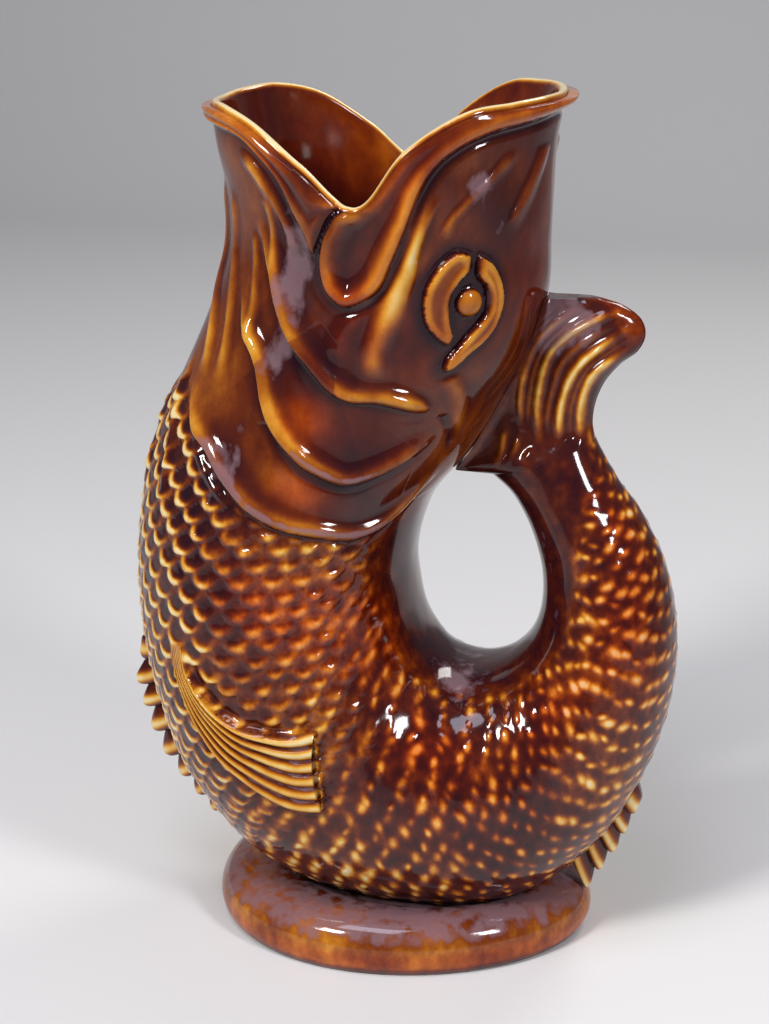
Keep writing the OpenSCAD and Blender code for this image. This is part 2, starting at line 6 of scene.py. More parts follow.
import bpy
import mathutils
import numpy as np
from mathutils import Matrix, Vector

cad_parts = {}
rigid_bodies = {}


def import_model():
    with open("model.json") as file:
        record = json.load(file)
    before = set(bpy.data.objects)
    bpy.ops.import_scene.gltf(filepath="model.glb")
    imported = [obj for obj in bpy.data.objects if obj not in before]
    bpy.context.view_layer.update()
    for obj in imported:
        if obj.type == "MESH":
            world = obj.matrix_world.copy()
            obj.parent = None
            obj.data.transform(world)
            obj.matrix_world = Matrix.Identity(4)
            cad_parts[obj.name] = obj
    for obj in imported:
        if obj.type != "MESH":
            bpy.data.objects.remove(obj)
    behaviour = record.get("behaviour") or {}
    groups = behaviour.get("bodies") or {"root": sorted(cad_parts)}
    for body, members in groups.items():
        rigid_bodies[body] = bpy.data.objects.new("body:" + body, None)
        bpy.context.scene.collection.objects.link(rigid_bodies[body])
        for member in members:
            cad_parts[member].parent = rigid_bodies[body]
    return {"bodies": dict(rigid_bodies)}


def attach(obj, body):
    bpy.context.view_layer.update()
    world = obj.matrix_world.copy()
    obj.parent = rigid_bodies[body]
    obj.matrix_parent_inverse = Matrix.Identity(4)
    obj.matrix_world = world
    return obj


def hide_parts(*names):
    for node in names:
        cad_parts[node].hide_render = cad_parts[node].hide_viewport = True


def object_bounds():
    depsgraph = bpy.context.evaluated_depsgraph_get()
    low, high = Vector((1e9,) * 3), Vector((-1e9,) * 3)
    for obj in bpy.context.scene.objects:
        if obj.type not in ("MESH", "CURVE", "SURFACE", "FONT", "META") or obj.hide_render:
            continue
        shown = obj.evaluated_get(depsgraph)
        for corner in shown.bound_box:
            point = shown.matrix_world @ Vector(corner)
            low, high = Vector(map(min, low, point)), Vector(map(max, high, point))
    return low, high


bl_info = {
    "name": "Glazed Fish Jug",
    "version": (1, 0, 0),
    "blender": (4, 5, 0),
    "location": "3D View > Sidebar > Fish Jug",
    "description": "Carved and glazed pieces for a fish-shaped pouring jug",
    "category": "Object",
}

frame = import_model()
CAD_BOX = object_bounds()
BODY = list(frame["bodies"])[0]
MM = 0.001
# Turns a point of the left side into its mirror image on the right
MIRROR = np.array([1, -1, 1])

# Driving sizes of the jug, in millimetres, as in the solids
JUG_H = 254.0
BELLY_REACH = 75.0
TAIL_REACH = 85.6
MOUTH_W = 94.0
BELLY_W = 94.0
TAIL_W = 48.0
LOOP_MIDDLE = np.array([26.5, 114.0])
LOOP_HALF = np.array([19.2, 30.5])
WALL = 4.0
RIM_WALL = 3.0
SLIP = 0.2
SEAT_H = 13.6
FOOT_H = 16.0

# The skin is swept by 22 rings, each between a point of the belly line and one of the back line.
# Heights are shares of the rise: up to 1 the middle of the loop, up to 2 the top of the jug.
BELLY_SHARES = np.array([
    [-0.673, 2.000], [-0.647, 1.900], [-0.611, 1.800], [-0.607, 1.701], [-0.660, 1.601], [-0.747, 1.487],
    [-0.853, 1.365], [-0.940, 1.236], [-0.993, 1.086], [-1.000, 0.905], [-0.953, 0.675], [-0.807, 0.403],
    [-0.480, 0.163], [0.023, 0.067], [0.460, 0.098], [0.770, 0.281], [0.935, 0.521], [1.000, 0.755],
    [0.975, 0.974], [0.882, 1.122], [0.765, 1.222], [0.695, 1.300]])
# Back line: down the neck, then round the loop, as shares of the loop's half size
NECK_SHARES = np.array([
    [0.572, 2.000], [0.537, 1.900], [0.530, 1.800], [0.526, 1.701], [0.523, 1.601], [0.479, 1.499],
    [0.409, 1.399], [0.304, 1.285]])
LOOP_SHARES = np.array([
    [-0.70, 0.75], [-0.99, 0.16], [-0.95, -0.30], [-0.78, -0.66], [-0.49, -0.89], [-0.13, -0.97],
    [0.23, -0.93], [0.57, -0.80], [0.86, -0.57], [1.00, -0.25], [0.98, 0.13], [0.80, 0.49], [0.55, 0.79],
    [0.18, 1.00]])
# Width of the rings as shares of the mouth's, the belly's and the tail's greatest width, and how round each
# ring is, as the power on its sine
MOUTH_W_SHARES = np.array([1.000, 0.979, 0.957, 0.926, 0.915, 0.915])
BELLY_W_SHARES = np.array([0.926, 0.947, 0.979, 1.000, 1.000, 0.979, 0.926, 0.862, 0.787, 0.691, 0.596])
TAIL_W_SHARES = np.array([1.000, 0.833, 0.708, 0.583, 0.500])
FULL_SHARES = np.array([
    0.92, 0.92, 0.94, 0.96, 0.96, 0.96, 0.96, 0.96, 0.96, 0.96, 0.95, 0.93, 0.90, 0.88, 0.90, 0.93,
    0.96, 0.96, 0.96, 0.96, 0.96, 0.96])
# How far the rim lies below the top, as shares of the height, and the ring numbers at which the head meets
# the body: both from the back round to the belly
RIM_DROP_SHARES = np.array([0.002, 0.001, 0.003, 0.010, 0.045, 0.105, 0.064, 0.028, 0.014, 0.014, 0.016])
NECK_SEAM_SHARES = np.array([7.60, 7.75, 7.95, 7.45, 6.50, 5.80, 5.60])
# Ring numbers of the tail's end, and of the seam between body and tail
LAST_RING = 21.0
TAIL_RING = 16.5

# Relief lines on the left side, as places: [ring number, angle from the back in degrees]
LOWER_LIP_EDGE = [[1.90, 93.4], [2.10, 98], [2.50, 102], [2.84, 104.4], [2.80, 106], [2.48, 108],
                  [2.02, 112], [1.48, 116], [1.04, 123], [0.74, 132], [0.64, 150], [0.62, 165], [0.62, 180]]
UPPER_LIP_EDGE = [[1.90, 92.6], [2.10, 97.2], [2.50, 101.2], [2.96, 102.6], [3.36, 101], [3.62, 98],
                  [3.82, 92], [3.70, 86], [3.40, 81], [2.90, 77.5], [2.26, 73], [1.56, 68], [1.10, 62],
                  [0.80, 55], [0.62, 48], [0.52, 41], [0.44, 28], [0.36, 12], [0.34, 0]]
# Line on which the two lips meet: angle at each ring number
LIPS_MEET = [[1.6, 1.92, 2.10, 2.50, 2.90, 3.4], [92.0, 93.0, 97.6, 101.6, 103.6, 104.0]]
CHEEK_LINE = [[2.05, 128], [2.90, 118], [3.70, 106], [4.20, 96], [4.65, 86], [4.95, 76], [5.10, 66],
              [5.20, 58], [5.30, 50]]
GILL_1 = [[2.24, 132], [3.08, 124], [3.98, 114], [4.58, 105], [5.00, 96], [5.34, 88], [5.54, 80], [5.60, 70],
          [5.82, 56], [5.84, 48]]
GILL_2 = [[3.60, 139], [4.40, 128], [4.92, 117], [5.60, 108], [6.08, 100], [6.50, 90], [6.76, 82],
          [7.04, 68], [6.96, 58], [6.68, 48], [6.30, 42]]
GILL_3 = [[5.40, 150], [6.16, 134], [6.52, 121], [6.96, 110], [7.40, 96], [7.70, 81], [7.90, 66], [8.08, 50],
          [7.98, 38], [7.60, 31], [7.10, 27]]
# Ridges and grooves: line, half width, and height (below zero a depth), both in millimetres
STROKES = [
    ([[1.60, 64], [2.30, 69.5], [3.00, 73], [3.80, 77], [4.42, 79], [4.88, 77], [5.30, 71]], 5.4, 2.1),
    ([[1.00, 134], [1.34, 127], [1.66, 122.5], [2.10, 117], [2.60, 112.5], [2.95, 109]], 3.4, 1.4),
    ([[1.80, 126], [2.12, 122], [2.86, 120], [3.72, 115], [4.42, 108], [4.92, 99]], 2.4, 1.4),
    ([[2.50, 115], [2.90, 114], [3.62, 112], [4.20, 106]], 2.4, 0.6),
    ([[1.60, 166], [2.20, 166], [3.08, 165], [3.72, 163], [4.30, 153], [4.90, 145], [5.60, 140]], 4.0, 1.3),
    ([[1.80, 147], [2.40, 147], [3.20, 147], [4.00, 141], [4.80, 134], [5.60, 131]], 3.4, 1.0),
    ([[2.50, 132], [3.00, 131], [3.60, 129], [4.20, 125], [4.70, 122]], 2.4, 0.9),
    ([[5.10, 158], [5.88, 151], [6.40, 144], [6.98, 139], [7.60, 136]], 3.2, 1.3),
    ([[5.60, 172], [6.20, 167], [6.90, 163], [7.60, 161]], 3.4, 1.0),
    ([[6.12, 137], [6.44, 128], [6.76, 121], [7.16, 110], [7.30, 104]], 2.2, 0.8),
    ([[0.95, 14], [1.14, 15], [1.74, 24], [2.08, 30], [2.40, 37]], 5.0, 0.9),
    ([[1.10, 20], [1.62, 29], [2.16, 36], [2.45, 44], [2.64, 52], [3.10, 62]], 2.6, -1.1),
    ([[1.00, 38], [1.40, 47], [1.90, 58], [2.30, 64], [2.85, 68], [3.40, 69]], 2.8, -1.0),
    ([[0.95, 30], [1.30, 40], [1.80, 52], [2.15, 58], [2.60, 60]], 3.0, 0.7),
    ([[4.80, 55], [5.20, 50], [5.80, 40], [6.60, 33]], 4.4, 1.0),
    ([[5.40, 62], [5.75, 50], [6.30, 38], [6.90, 29]], 2.4, -0.9),
    ([[3.40, 84], [3.90, 87], [4.40, 90], [4.90, 90]], 5.0, 0.9),
    ([[2.00, 88.5], [2.52, 91], [2.90, 93], [3.30, 91]], 2.9, -1.0),
    ([[1.30, 75], [1.80, 81], [2.30, 85], [2.80, 86.5], [3.20, 87]], 1.8, 0.5),
]
# Eye: place of its middle, length and width of its ring in millimetres, and as shares of half that width and
# length the outlines of the ring's two arms and the place of the pupil
EYE_PLACE = [3.68, 53.0]
EYE_L = 25.0
EYE_W = 22.0
EYE_FRONT_SHARES = [
    [-0.14, -0.94], [0.17, -1.03], [0.45, -0.92], [0.72, -0.67], [0.93, -0.31], [0.97, 0.09], [0.86, 0.45],
    [0.59, 0.74], [0.28, 0.94], [0.10, 0.99], [0.08, 0.79], [0.23, 0.52], [0.30, 0.26], [0.30, -0.05],
    [0.19, -0.29], [0.05, -0.46], [-0.11, -0.57], [-0.17, -0.77]]
EYE_BACK_SHARES = [
    [-0.38, -0.92], [-0.72, -0.74], [-0.93, -0.43], [-1.07, -0.04], [-1.07, 0.36], [-0.97, 0.74],
    [-0.76, 1.01], [-0.48, 1.23], [-0.26, 1.46], [-0.08, 1.56], [0.04, 1.46], [0.04, 1.25], [-0.11, 1.01],
    [-0.27, 0.80], [-0.48, 0.56], [-0.62, 0.33], [-0.62, 0.04], [-0.53, -0.23], [-0.33, -0.44],
    [-0.30, -0.71]]
PUPIL_SHARES = [-0.17, 0.10]
PUPIL_D = 8.0
# Pectoral fin: its upper and lower edge, its outline between their ends, and the number of its rays
PECTORAL_UPPER = [[9.05, 117.5], [9.42, 116], [9.78, 114], [10.18, 106.5], [10.46, 98], [10.68, 89],
                  [10.88, 80], [10.98, 71]]
PECTORAL_LOWER = [[9.30, 123], [9.86, 121.5], [10.34, 118], [10.82, 112.5], [11.20, 107], [11.56, 102],
                  [11.80, 97], [12.00, 92]]
PECTORAL_TIP = [[11.78, 84], [11.30, 75]]
PECTORAL_RAYS = 6

# Heights of the relief in millimetres
LIP_OUT = 2.6
GILL_OUT = 3.0
EYE_OUT = 2.6
PUPIL_OUT = 3.2
PECTORAL_OUT = 3.4
# Tail fin: places of its outer edge, the neck's ring numbers beside them, and at each of these stations its
# thickness, from blade (0) to the tail's (1), and how much of the tail's oval is left in its section
FIN_EDGE_SHARES = np.array([
    [0.695, 1.300], [0.685, 1.336], [0.693, 1.378], [0.721, 1.421], [0.768, 1.458], [0.824, 1.487],
    [0.847, 1.521], [0.829, 1.554], [0.771, 1.579], [0.701, 1.592]])
FIN_ROOT_SHARES = np.array([7.75, 7.35, 6.90, 6.30, 5.75, 5.30, 4.85, 4.50, 4.25, 4.10])
FIN_TAPER_SHARES = np.array([1, 0.80, 0.65, 0.50, 0.42, 0.30, 0.24, 0.17, 0.08, 0])
FIN_ROUND_SHARES = np.array([1, 0.50, 0.15, 0, 0, 0, 0, 0, 0, 0])
# Angle at which the blade leaves its foot on the neck, station at which the tail's end ring has turned into
# the fin, and the blade's thickness
FIN_FOOT_ANGLE = 27.0
FIN_FIRST = 9 / 14
TAIL_FIN_T = 9.6
# Rays on the fin's side, as [x, height] in millimetres from the middle of the mouth and from the table: the
# long ones with the strength of each, and the short ones that spring from the neck
FIN_RAYS = [
    [[58.1, 152.4], [55.9, 159.7], [55.9, 167.1], [58.0, 174.5], [61.5, 178.5], [67.0, 182.6]],
    [[50.9, 154.9], [50.0, 163.8], [51.8, 172.7], [55.0, 178.7], [59.9, 183.3], [66.5, 188.8]],
    [[44.6, 157.0], [43.6, 166.0], [44.6, 175.3], [47.2, 182.7], [52.7, 187.9], [59.6, 191.9],
     [64.5, 193.5]],
    [[39.5, 160.0], [38.7, 168.0], [39.6, 176.6], [42.3, 184.1], [48.0, 190.5], [56.1, 195.5]],
    [[34.5, 166.0], [34.8, 174.0], [37.0, 182.0], [41.5, 189.5], [47.0, 195.0]]]
FIN_RAY_STRENGTHS = (1.0, 1.0, 0.9, 0.7, 0.6)
FIN_ROOT_STRENGTH = 0.55
# Strength of the weaker ray half way between two long ones
FIN_BETWEEN_STRENGTH = 0.34
FIN_ROOT_RAYS = [
    [[31.5, 147.0], [34.0, 153.0], [34.5, 160.0]], [[32.0, 146.0], [37.0, 152.0], [39.0, 158.0]],
    [[33.0, 145.5], [40.0, 150.0], [43.5, 155.5]], [[34.0, 145.0], [42.5, 148.0], [48.0, 152.5]]]


def mix(a, b, f):
    """Straight blend from a to b."""
    return a + (b - a) * f


def rise(share):
    """Height over the table for a share of the rise."""
    return np.where(share < 1, share * LOOP_MIDDLE[1], mix(LOOP_MIDDLE[1], JUG_H, share - 1))


def smooth(x):
    """Soft step from 0 to 1 while x goes from 0 to 1: three x squared less two x cubed."""
    x = np.clip(x, 0.0, 1.0)
    return x * x * (3 - 2 * x)


def onset(x, start, width):
    """Soft step from 0 to 1 while x goes from a start over a width, which is negative where x falls."""
    return smooth((x - start) / width)


def along(values, t):
    """Value at any place along a list: a Catmull-Rom curve through its entries."""
    values = np.asarray(values, float)
    t = np.asarray(t, float)
    top = len(values) - 1
    i = np.clip(np.floor(t), 0, top - 1).astype(int)
    f = np.minimum(t, top) - i
    b, c = values[i], values[i + 1]
    first = i > 0
    last = i + 2 <= top
    if values.ndim > 1:
        f, first, last = f[..., None], first[..., None], last[..., None]
    a = np.where(first, values[np.maximum(i - 1, 0)], 2 * b - c)
    d = np.where(last, values[np.minimum(i + 2, top)], 2 * c - b)
    return (2 * b + (c - a) * f + (2 * a - 5 * b + 4 * c - d) * f ** 2 + (3 * b - a - 3 * c + d) * f ** 3) / 2


def line_of(places, per_span=8):
    """Smooth line through places, with a few spots for each span."""
    return along(places, np.linspace(0, len(places) - 1, per_span * (len(places) - 1) + 1))


BELLY_LINE = np.stack([BELLY_SHARES[:, 0] * np.where(BELLY_SHARES[:, 0] < 0, BELLY_REACH, TAIL_REACH),
                       rise(BELLY_SHARES[:, 1])], -1)
BACK_LINE = np.vstack([np.stack([NECK_SHARES[:, 0] * TAIL_REACH, rise(NECK_SHARES[:, 1])], -1),
                       LOOP_MIDDLE + LOOP_SHARES * LOOP_HALF])
HALF_W = np.hstack([MOUTH_W_SHARES * MOUTH_W, BELLY_W_SHARES * BELLY_W, TAIL_W_SHARES * TAIL_W]) / 2
# Millimetres of skin for one ring number, and for one degree, near the mouth
RING_PITCH = (BELLY_LINE[0, 1] - BELLY_LINE[3, 1]) / 3
DEGREE = math.radians(HALF_W[3])
# The lines above are drawn from the middle of the mouth, and shifted so that the tail ends as the solids do
TAIL_END = along(BELLY_LINE, mix(TAIL_RING, LAST_RING, np.linspace(0, 1, 11)))[:, 0].max()
SHIFT_X = TAIL_END - CAD_BOX[1].x / MM


def full_sin(a, power):
    """Sine of an angle in degrees raised to a power, with its sign kept."""
    s = np.sin(np.radians(a))
    return np.sign(s) * np.abs(s) ** power


def skin(t, a, lift=0.0):
    """Point of the skin in millimetres: the middle of ring t plus its long half axis times cosine a, with
    its half width times sine a to a power to the side, and both half axes longer by the lift."""
    t, a = np.broadcast_arrays(np.asarray(t, float), np.asarray(a, float))
    belly, back = along(BELLY_LINE, t), along(BACK_LINE, t)
    middle, half = (belly + back) / 2, (back - belly) / 2
    length = np.hypot(half[..., 0], half[..., 1])
    reach = ((length + lift) / length * np.cos(np.radians(a)))[..., None] * half
    side = -(along(HALF_W, t) + lift) * full_sin(a, along(FULL_SHARES, t))
    return np.stack([middle[..., 0] + reach[..., 0] - SHIFT_X, side, middle[..., 1] + reach[..., 1]], -1)


def folded(a):
    """Angle from the back, alike on both sides, in degrees from 0 to 180."""
    return np.abs((np.asarray(a, float) + 180.0) % 360.0 - 180.0)


def rim_t(a):
    """Ring number of the rim at an angle."""
    return along(RIM_DROP_SHARES, folded(a) / 180 * (len(RIM_DROP_SHARES) - 1)) * JUG_H / RING_PITCH


def seam_t(a):
    """Ring number at which the head meets the body."""
    return along(NECK_SEAM_SHARES, folded(a) / 180 * (len(NECK_SEAM_SHARES) - 1))


# The relief is worked out once, on a net over the left side: rows every half millimetre along the side of
# the fish and columns every half degree.
NET_ROW = 0.5
NET_COL = 0.5
# Mean width of a column in millimetres
NET_COL_MM = 0.4
SIDE_ANGLE = 115.0
FINE_T = np.linspace(0, LAST_RING, 2101)
FINE_MM = np.concatenate([[0], np.cumsum(np.linalg.norm(np.diff(skin(FINE_T, SIDE_ANGLE), axis=0), axis=1))])
NET_T = np.interp(np.arange(0, FINE_MM[-1], NET_ROW), FINE_MM, FINE_T)
NET_A = np.arange(0, 180 + NET_COL / 2, NET_COL)
# Tables over the net, which carve() fills: height of the relief in millimetres, cover of the stuck-on
# members, depth of the glaze and its redness, which below zero turns to a milky veil that is mostly a painted
# reflection
TABLES = {}


def net_value(label, t, a):
    """Value of one of the net's tables at any place, blended between its four nearest entries."""
    table = TABLES[label]
    t, a = np.broadcast_arrays(np.asarray(t, float), folded(a))
    x = np.clip(np.interp(t, FINE_T, FINE_MM) / NET_ROW, 0, len(NET_T) - 1.001)
    y = np.clip(a / NET_COL, 0, len(NET_A) - 1.001)
    i, j = x.astype(int), y.astype(int)
    f, g = x - i, y - j
    return mix(mix(table[i, j], table[i, j + 1], g), mix(table[i + 1, j], table[i + 1, j + 1], g), f)


def to_line(net, line):
    """Distance in millimetres from every spot of the net to a line on the skin, plus on the side that lies
    to its right as it runs down the fish, and how far along the line (0 to 1) the nearest spot lies."""
    t, a, point = net
    spots = skin(line[:, 0], line[:, 1])
    best = np.full(t.shape, 1e9)
    where = np.zeros(t.shape)
    side = np.zeros(t.shape)
    flat = np.stack([line[:, 0] * RING_PITCH, line[:, 1] * DEGREE], -1)
    for i in range(len(line) - 1):
        step = spots[i + 1] - spots[i]
        gap = point - spots[i]
        f = np.clip((gap @ step) / max(step @ step, 1e-9), 0, 1)
        d = np.einsum("ijk,ijk->ij", gap, gap) - 2 * f * (gap @ step) + f * f * (step @ step)
        run = flat[i + 1] - flat[i]
        turn = run[0] * (a * DEGREE - flat[i, 1]) - run[1] * (t * RING_PITCH - flat[i, 0])
        near = d < best
        best = np.where(near, d, best)
        where = np.where(near, i + f, where)
        side = np.where(near, -np.sign(turn), side)
    return side * np.sqrt(np.maximum(best, 0)), where / (len(line) - 1)


def inside(net, line):
    """True where a spot of the net lies inside a closed line, by counting the times a ray crosses it."""
    t, a, _ = net
    hits = np.zeros(t.shape, bool)
    for (t0, a0), (t1, a1) in zip(line, np.roll(line, -1, axis=0)):
        crosses = (a0 > a) != (a1 > a)
        hits ^= crosses & (t < t0 + (t1 - t0) * (a - a0) / (a1 - a0 if a1 != a0 else 1e-9))
    return hits


def tapered(u, end):
    """1 along a line, falling softly to 0 over a share of its length at both ends."""
    return smooth(u / end) * smooth((1 - u) / end)


def bell(d, half):
    """Bell curve that falls to a third at the half width."""
    return np.exp(-(d / half) ** 2)


def eye_place(shares):
    """Places for shares of an eye ring's half width (towards the spout) and half length (down)."""
    shares = np.asarray(shares, float)
    return np.stack([EYE_PLACE[0] + shares[:, 1] * EYE_L / 2 / RING_PITCH,
                     EYE_PLACE[1] + shares[:, 0] * EYE_W / 2 / DEGREE], -1)


def closed(places):
    """Smooth closed line through places."""
    return line_of(np.vstack([places, places[:1]]), 4)


# Stretches of the fish that hold its members, each from one ring number to another
LIP_SPAN = (0, 5)
GILL_SPAN = (1.6, 9.6)
EYE_SPAN = (2.0, 6.0)
PECTORAL_SPAN = (8.4, 12.8)
SCALE_SPAN = (5.4, LAST_RING)
# Ring number past which the upper lip has ended, and the soft step over which its bulbs set in: start and
# width in ring numbers
UPPER_LIP_END = 4.2
BULB_RINGS = (1.6, 1.0)
# Ring numbers that stand for the outer gill cover's edge below and above its line, and millimetres for one
# ring number there
GILL_END_RINGS = (7.2, 7.9)
GILL_END_MM = 14
# Distance in millimetres that stands for well outside a member
OUTSIDE = -9.0
# How deep a gill cover is dished, as a share of its height
GILL_DISH = 0.12


def rows_of(span):
    """Rows of the net between two ring numbers."""
    return slice(*np.searchsorted(NET_T, span))


def window(span):
    """Rows of the net between two ring numbers, with their ring numbers, angles and points."""
    rows = rows_of(span)
    t, a = np.meshgrid(NET_T[rows], NET_A, indexing="ij")
    return rows, (t, a, skin(t, a))


def lips(height, cover):
    """Lips: a rounded band between the rim and an edge line, with a crest near the rim and another by the
    edge. Returns where they lie, in the rows of their window."""
    rows, net = window(LIP_SPAN)
    t, a, _ = net
    rim = np.stack([rim_t(NET_A[::2]), NET_A[::2]], -1)
    rim_d = np.abs(to_line(net, rim)[0]) * np.sign(t - rim_t(a) + 1e-6)
    low_d, _ = to_line(net, line_of(LOWER_LIP_EDGE[::-1]))
    past = (a - np.interp(t, *LIPS_MEET)) * DEGREE * 0.8
    low_d = np.where(past < -4, OUTSIDE, np.minimum(low_d, past))
    up_d, _ = to_line(net, line_of(UPPER_LIP_EDGE))
    up_d = np.where((past > 4) | (t > UPPER_LIP_END), OUTSIDE, np.minimum(up_d, -past))
    for edge_d, is_low in ((low_d, True), (up_d, False)):
        share = np.clip(rim_d / np.maximum(rim_d + edge_d, 0.1), 0, 1)
        fall = smooth((edge_d + 0.8) / 1.9)
        if is_low:
            crest = 0.45 + 0.50 * smooth(share / 0.40) - 0.22 * smooth((share - 0.55) / 0.45)
            crest += 0.10 * bell(share - 0.84, 0.09) - 0.18 * bell(share - 0.62, 0.10)
        else:
            bulb = onset(t, *BULB_RINGS)
            crest = 0.46 + 0.26 * bell(rim_d - 2.4, 1.7) + 0.50 * bell(edge_d - 2.3, 1.9)
            crest += bulb * (0.16 - 0.42 * smooth((edge_d - 3.6) / 3.6))
        height[rows] = np.maximum(height[rows], fall * crest * LIP_OUT * smooth((rim_d + 2.0) / 2.2))
        cover[rows] = np.maximum(cover[rows], smooth((edge_d + 0.4) / 1.8))
        height[rows] -= 0.7 * bell(edge_d + 1.6, 1.0) * (np.abs(edge_d) < 8)
    return smooth((np.maximum(low_d, up_d) + 0.4) / 1.2)


def gills(height, cover):
    """Gill covers: from each edge line the cover is dished, rises to a rounded lip and drops to the next one.
    Returns where they lie and the ribbons along their edges, on which carve() paints a highlight, in the rows
    of their window."""
    rows, net = window(GILL_SPAN)
    total = np.zeros(net[0].shape)
    ribbon_sheen = np.zeros(net[0].shape)
    for places, lip in ((GILL_1, 0.90), (GILL_2, 1.00), (GILL_3, 0.85)):
        d, u = to_line(net, line_of(places))
        drop = smooth((d + 1.2) / 2.2)
        shape = (1 - GILL_DISH) * bell(np.maximum(d - 1.9, 0), 2.5) + GILL_DISH * smooth(1 - d / 16)
        total += drop * shape * lip * GILL_OUT * tapered(u, 0.16)
        total -= 0.55 * bell(d + 2.1, 1.4) * tapered(u, 0.16)
        ribbon_sheen = np.maximum(ribbon_sheen, bell(d - 1.7, 1.5) * tapered(u, 0.3))
    height[rows] += total
    outer, u = to_line(net, line_of(GILL_3))
    inner, v = to_line(net, line_of(CHEEK_LINE))
    ends = tapered(u, 0.03) * tapered(v, 0.03)
    cover[rows] = np.maximum(cover[rows], smooth(np.minimum(outer + 0.6, -inner) / 2.2) * ends)
    leaves = smooth(np.minimum(outer + 2.0, 2.0 - inner) / 5) * tapered(u, 0.3) * tapered(v, 0.3)
    return leaves, ribbon_sheen


def strokes(height):
    """Ridges and grooves: a rounded section along each line, tapered at its ends."""
    for places, half, out in STROKES:
        places = np.asarray(places)
        rows, net = window((places[:, 0].min() - 1, places[:, 0].max() + 1))
        d, u = to_line(net, line_of(places))
        height[rows] += out * (1 - smooth(np.abs(d) / half)) * tapered(u, 0.2)


def eyes(height, cover):
    """Eye: two rounded arms about a domed pupil, in a groove. Returns the groove and the pupil."""
    rows, net = window(EYE_SPAN)
    field = height[rows]
    ground = np.zeros(field.shape)
    for shares in (EYE_FRONT_SHARES, EYE_BACK_SHARES):
        line = closed(eye_place(shares))
        d, _ = to_line(net, line)
        d = np.where(inside(net, line), np.abs(d), -np.abs(d))
        arm = EYE_OUT * np.sqrt(1 - (1 - np.clip((d + 0.8) / 3.0, 0, 1)) ** 2)
        arm = arm * (1 - 0.16 * smooth((d - 1.2) / 2))
        ground = np.maximum(ground, bell(np.minimum(d + 1.3, 0), 1.5) * (d < 0.4))
        field = np.maximum(field * (1 - smooth(d / 0.8)), arm)
        cover[rows] = np.maximum(cover[rows], smooth((d + 0.7) / 1.2))
    spot = eye_place([PUPIL_SHARES])[0]
    r = np.linalg.norm(net[2] - skin(spot[0], spot[1]), axis=-1)
    edge = PUPIL_D / 2 - r
    ground = np.maximum(ground, bell(np.minimum(edge + 1.0, 0), 1.4) * (edge < 0.4))
    dome = 0.75 * PUPIL_OUT * np.sqrt(np.clip(1 - (r / PUPIL_D * 2) ** 2, 0, 1))
    field = np.maximum(field - 1.2 * ground, dome)
    cover[rows] = np.maximum(cover[rows], smooth((edge + 0.4) / 1.0))
    height[rows] = field
    return np.clip(ground, 0, 1), smooth(edge + 0.5)


def pectorals(height, cover):
    """Pectoral fin: rays between two edge lines that fan out of a root, ridges with a sharp groove between
    them. Returns where it lies and the height share of its rays."""
    rows, net = window(PECTORAL_SPAN)
    upper, u0 = to_line(net, line_of(PECTORAL_UPPER))
    lower, u1 = to_line(net, line_of(PECTORAL_LOWER))
    upper = -upper
    tip = line_of(PECTORAL_LOWER[-1:] + PECTORAL_TIP + PECTORAL_UPPER[-1:])
    tip_d, _ = to_line(net, tip)
    root = np.minimum(u0, u1)
    v = np.clip(upper / np.maximum(upper + lower, 0.2), 0, 1)
    u = (u0 + u1) / 2
    ray = np.abs(np.sin(np.pi * PECTORAL_RAYS * v)) ** 0.8
    edge = np.minimum(np.minimum(upper, lower), tip_d - 2.2 * (1 - ray) ** 2)
    rise_u = 0.35 + 0.65 * smooth(u / 0.35)
    ridge = mix(1 - 0.62 * smooth(u / 0.25), 1.0, ray)
    fin = PECTORAL_OUT * rise_u * ridge * (0.75 + 0.25 * bell(v - 0.12, 0.2))
    arch = np.sqrt(np.clip(1 - (1 - np.clip((edge + 0.5) / 1.8, 0, 1)) ** 2, 0, 1))
    field = arch * fin * smooth(root / 0.02)
    field = np.where((upper > -1.5) & (lower > -1.5), field, 0)
    covered = smooth(np.minimum(edge, 40 * root) / 0.9)
    height[rows] = np.maximum(height[rows] * (1 - smooth((edge + 1.2) / 1.2) * (root > 0)), field)
    height[rows] -= 0.5 * bell(edge + 1.5, 1.1) * smooth(root / 0.05) * (np.abs(edge) < 6)
    cover[rows] = np.maximum(cover[rows], covered)
    return smooth((edge + 0.5) / 1.2) * smooth(root / 0.02), ray


# Scales: their pitch across and along the fish in millimetres at some ring numbers, how much wider they grow
# towards the belly, and the angle up to which the back is smooth
SCALE_RINGS = [7.0, 9.5, 11.5, 13.5, 16.5, 18.5, 21.0]
SCALE_WIDTHS = [5.0, 4.8, 4.4, 4.0, 3.8, 3.6, 3.2]
SCALE_LENGTHS = [9.8, 9.2, 8.2, 7.2, 6.6, 6.2, 5.6]
BELLY_GROWTH = 0.10
BACK_RINGS = [7.0, 8.7, 9.7, 10.8, 12.2, 14.0, 16.0, 16.9, 17.8, 18.6, 19.4, 19.9, 20.4]
BACK_ANGLES = [42, 34, 26, 21, 18, 22, 40, 54, 62, 72, 92, 118, 150]
# Soft steps over the scales, each a start and a width in ring numbers or degrees: where they turn to beads,
# on the side and on the back, where the belly's larger leaves set in, and the breast and the low flank, on
# which the glaze runs thinnest
BEAD_RINGS = (10.7, 1.6)
BACK_BEAD_RINGS = (8.6, 1.0)
BACK_BEAD_ANGLES = (64, -22)
BELLY_ANGLES = (88, 26)
BREAST_RINGS = (14.6, -2.0)
BREAST_ANGLES = (92, 24)
FLANK_RINGS = (11.0, 1.5)
FLANK_ANGLES = (60, 30)


def chance(k, n, seed):
    """Number from 0 to 1 that looks random but is fixed for each scale."""
    return np.modf(np.abs(np.sin(k * 12.9898 + n * 78.233 + seed) * 43758.5453))[0]


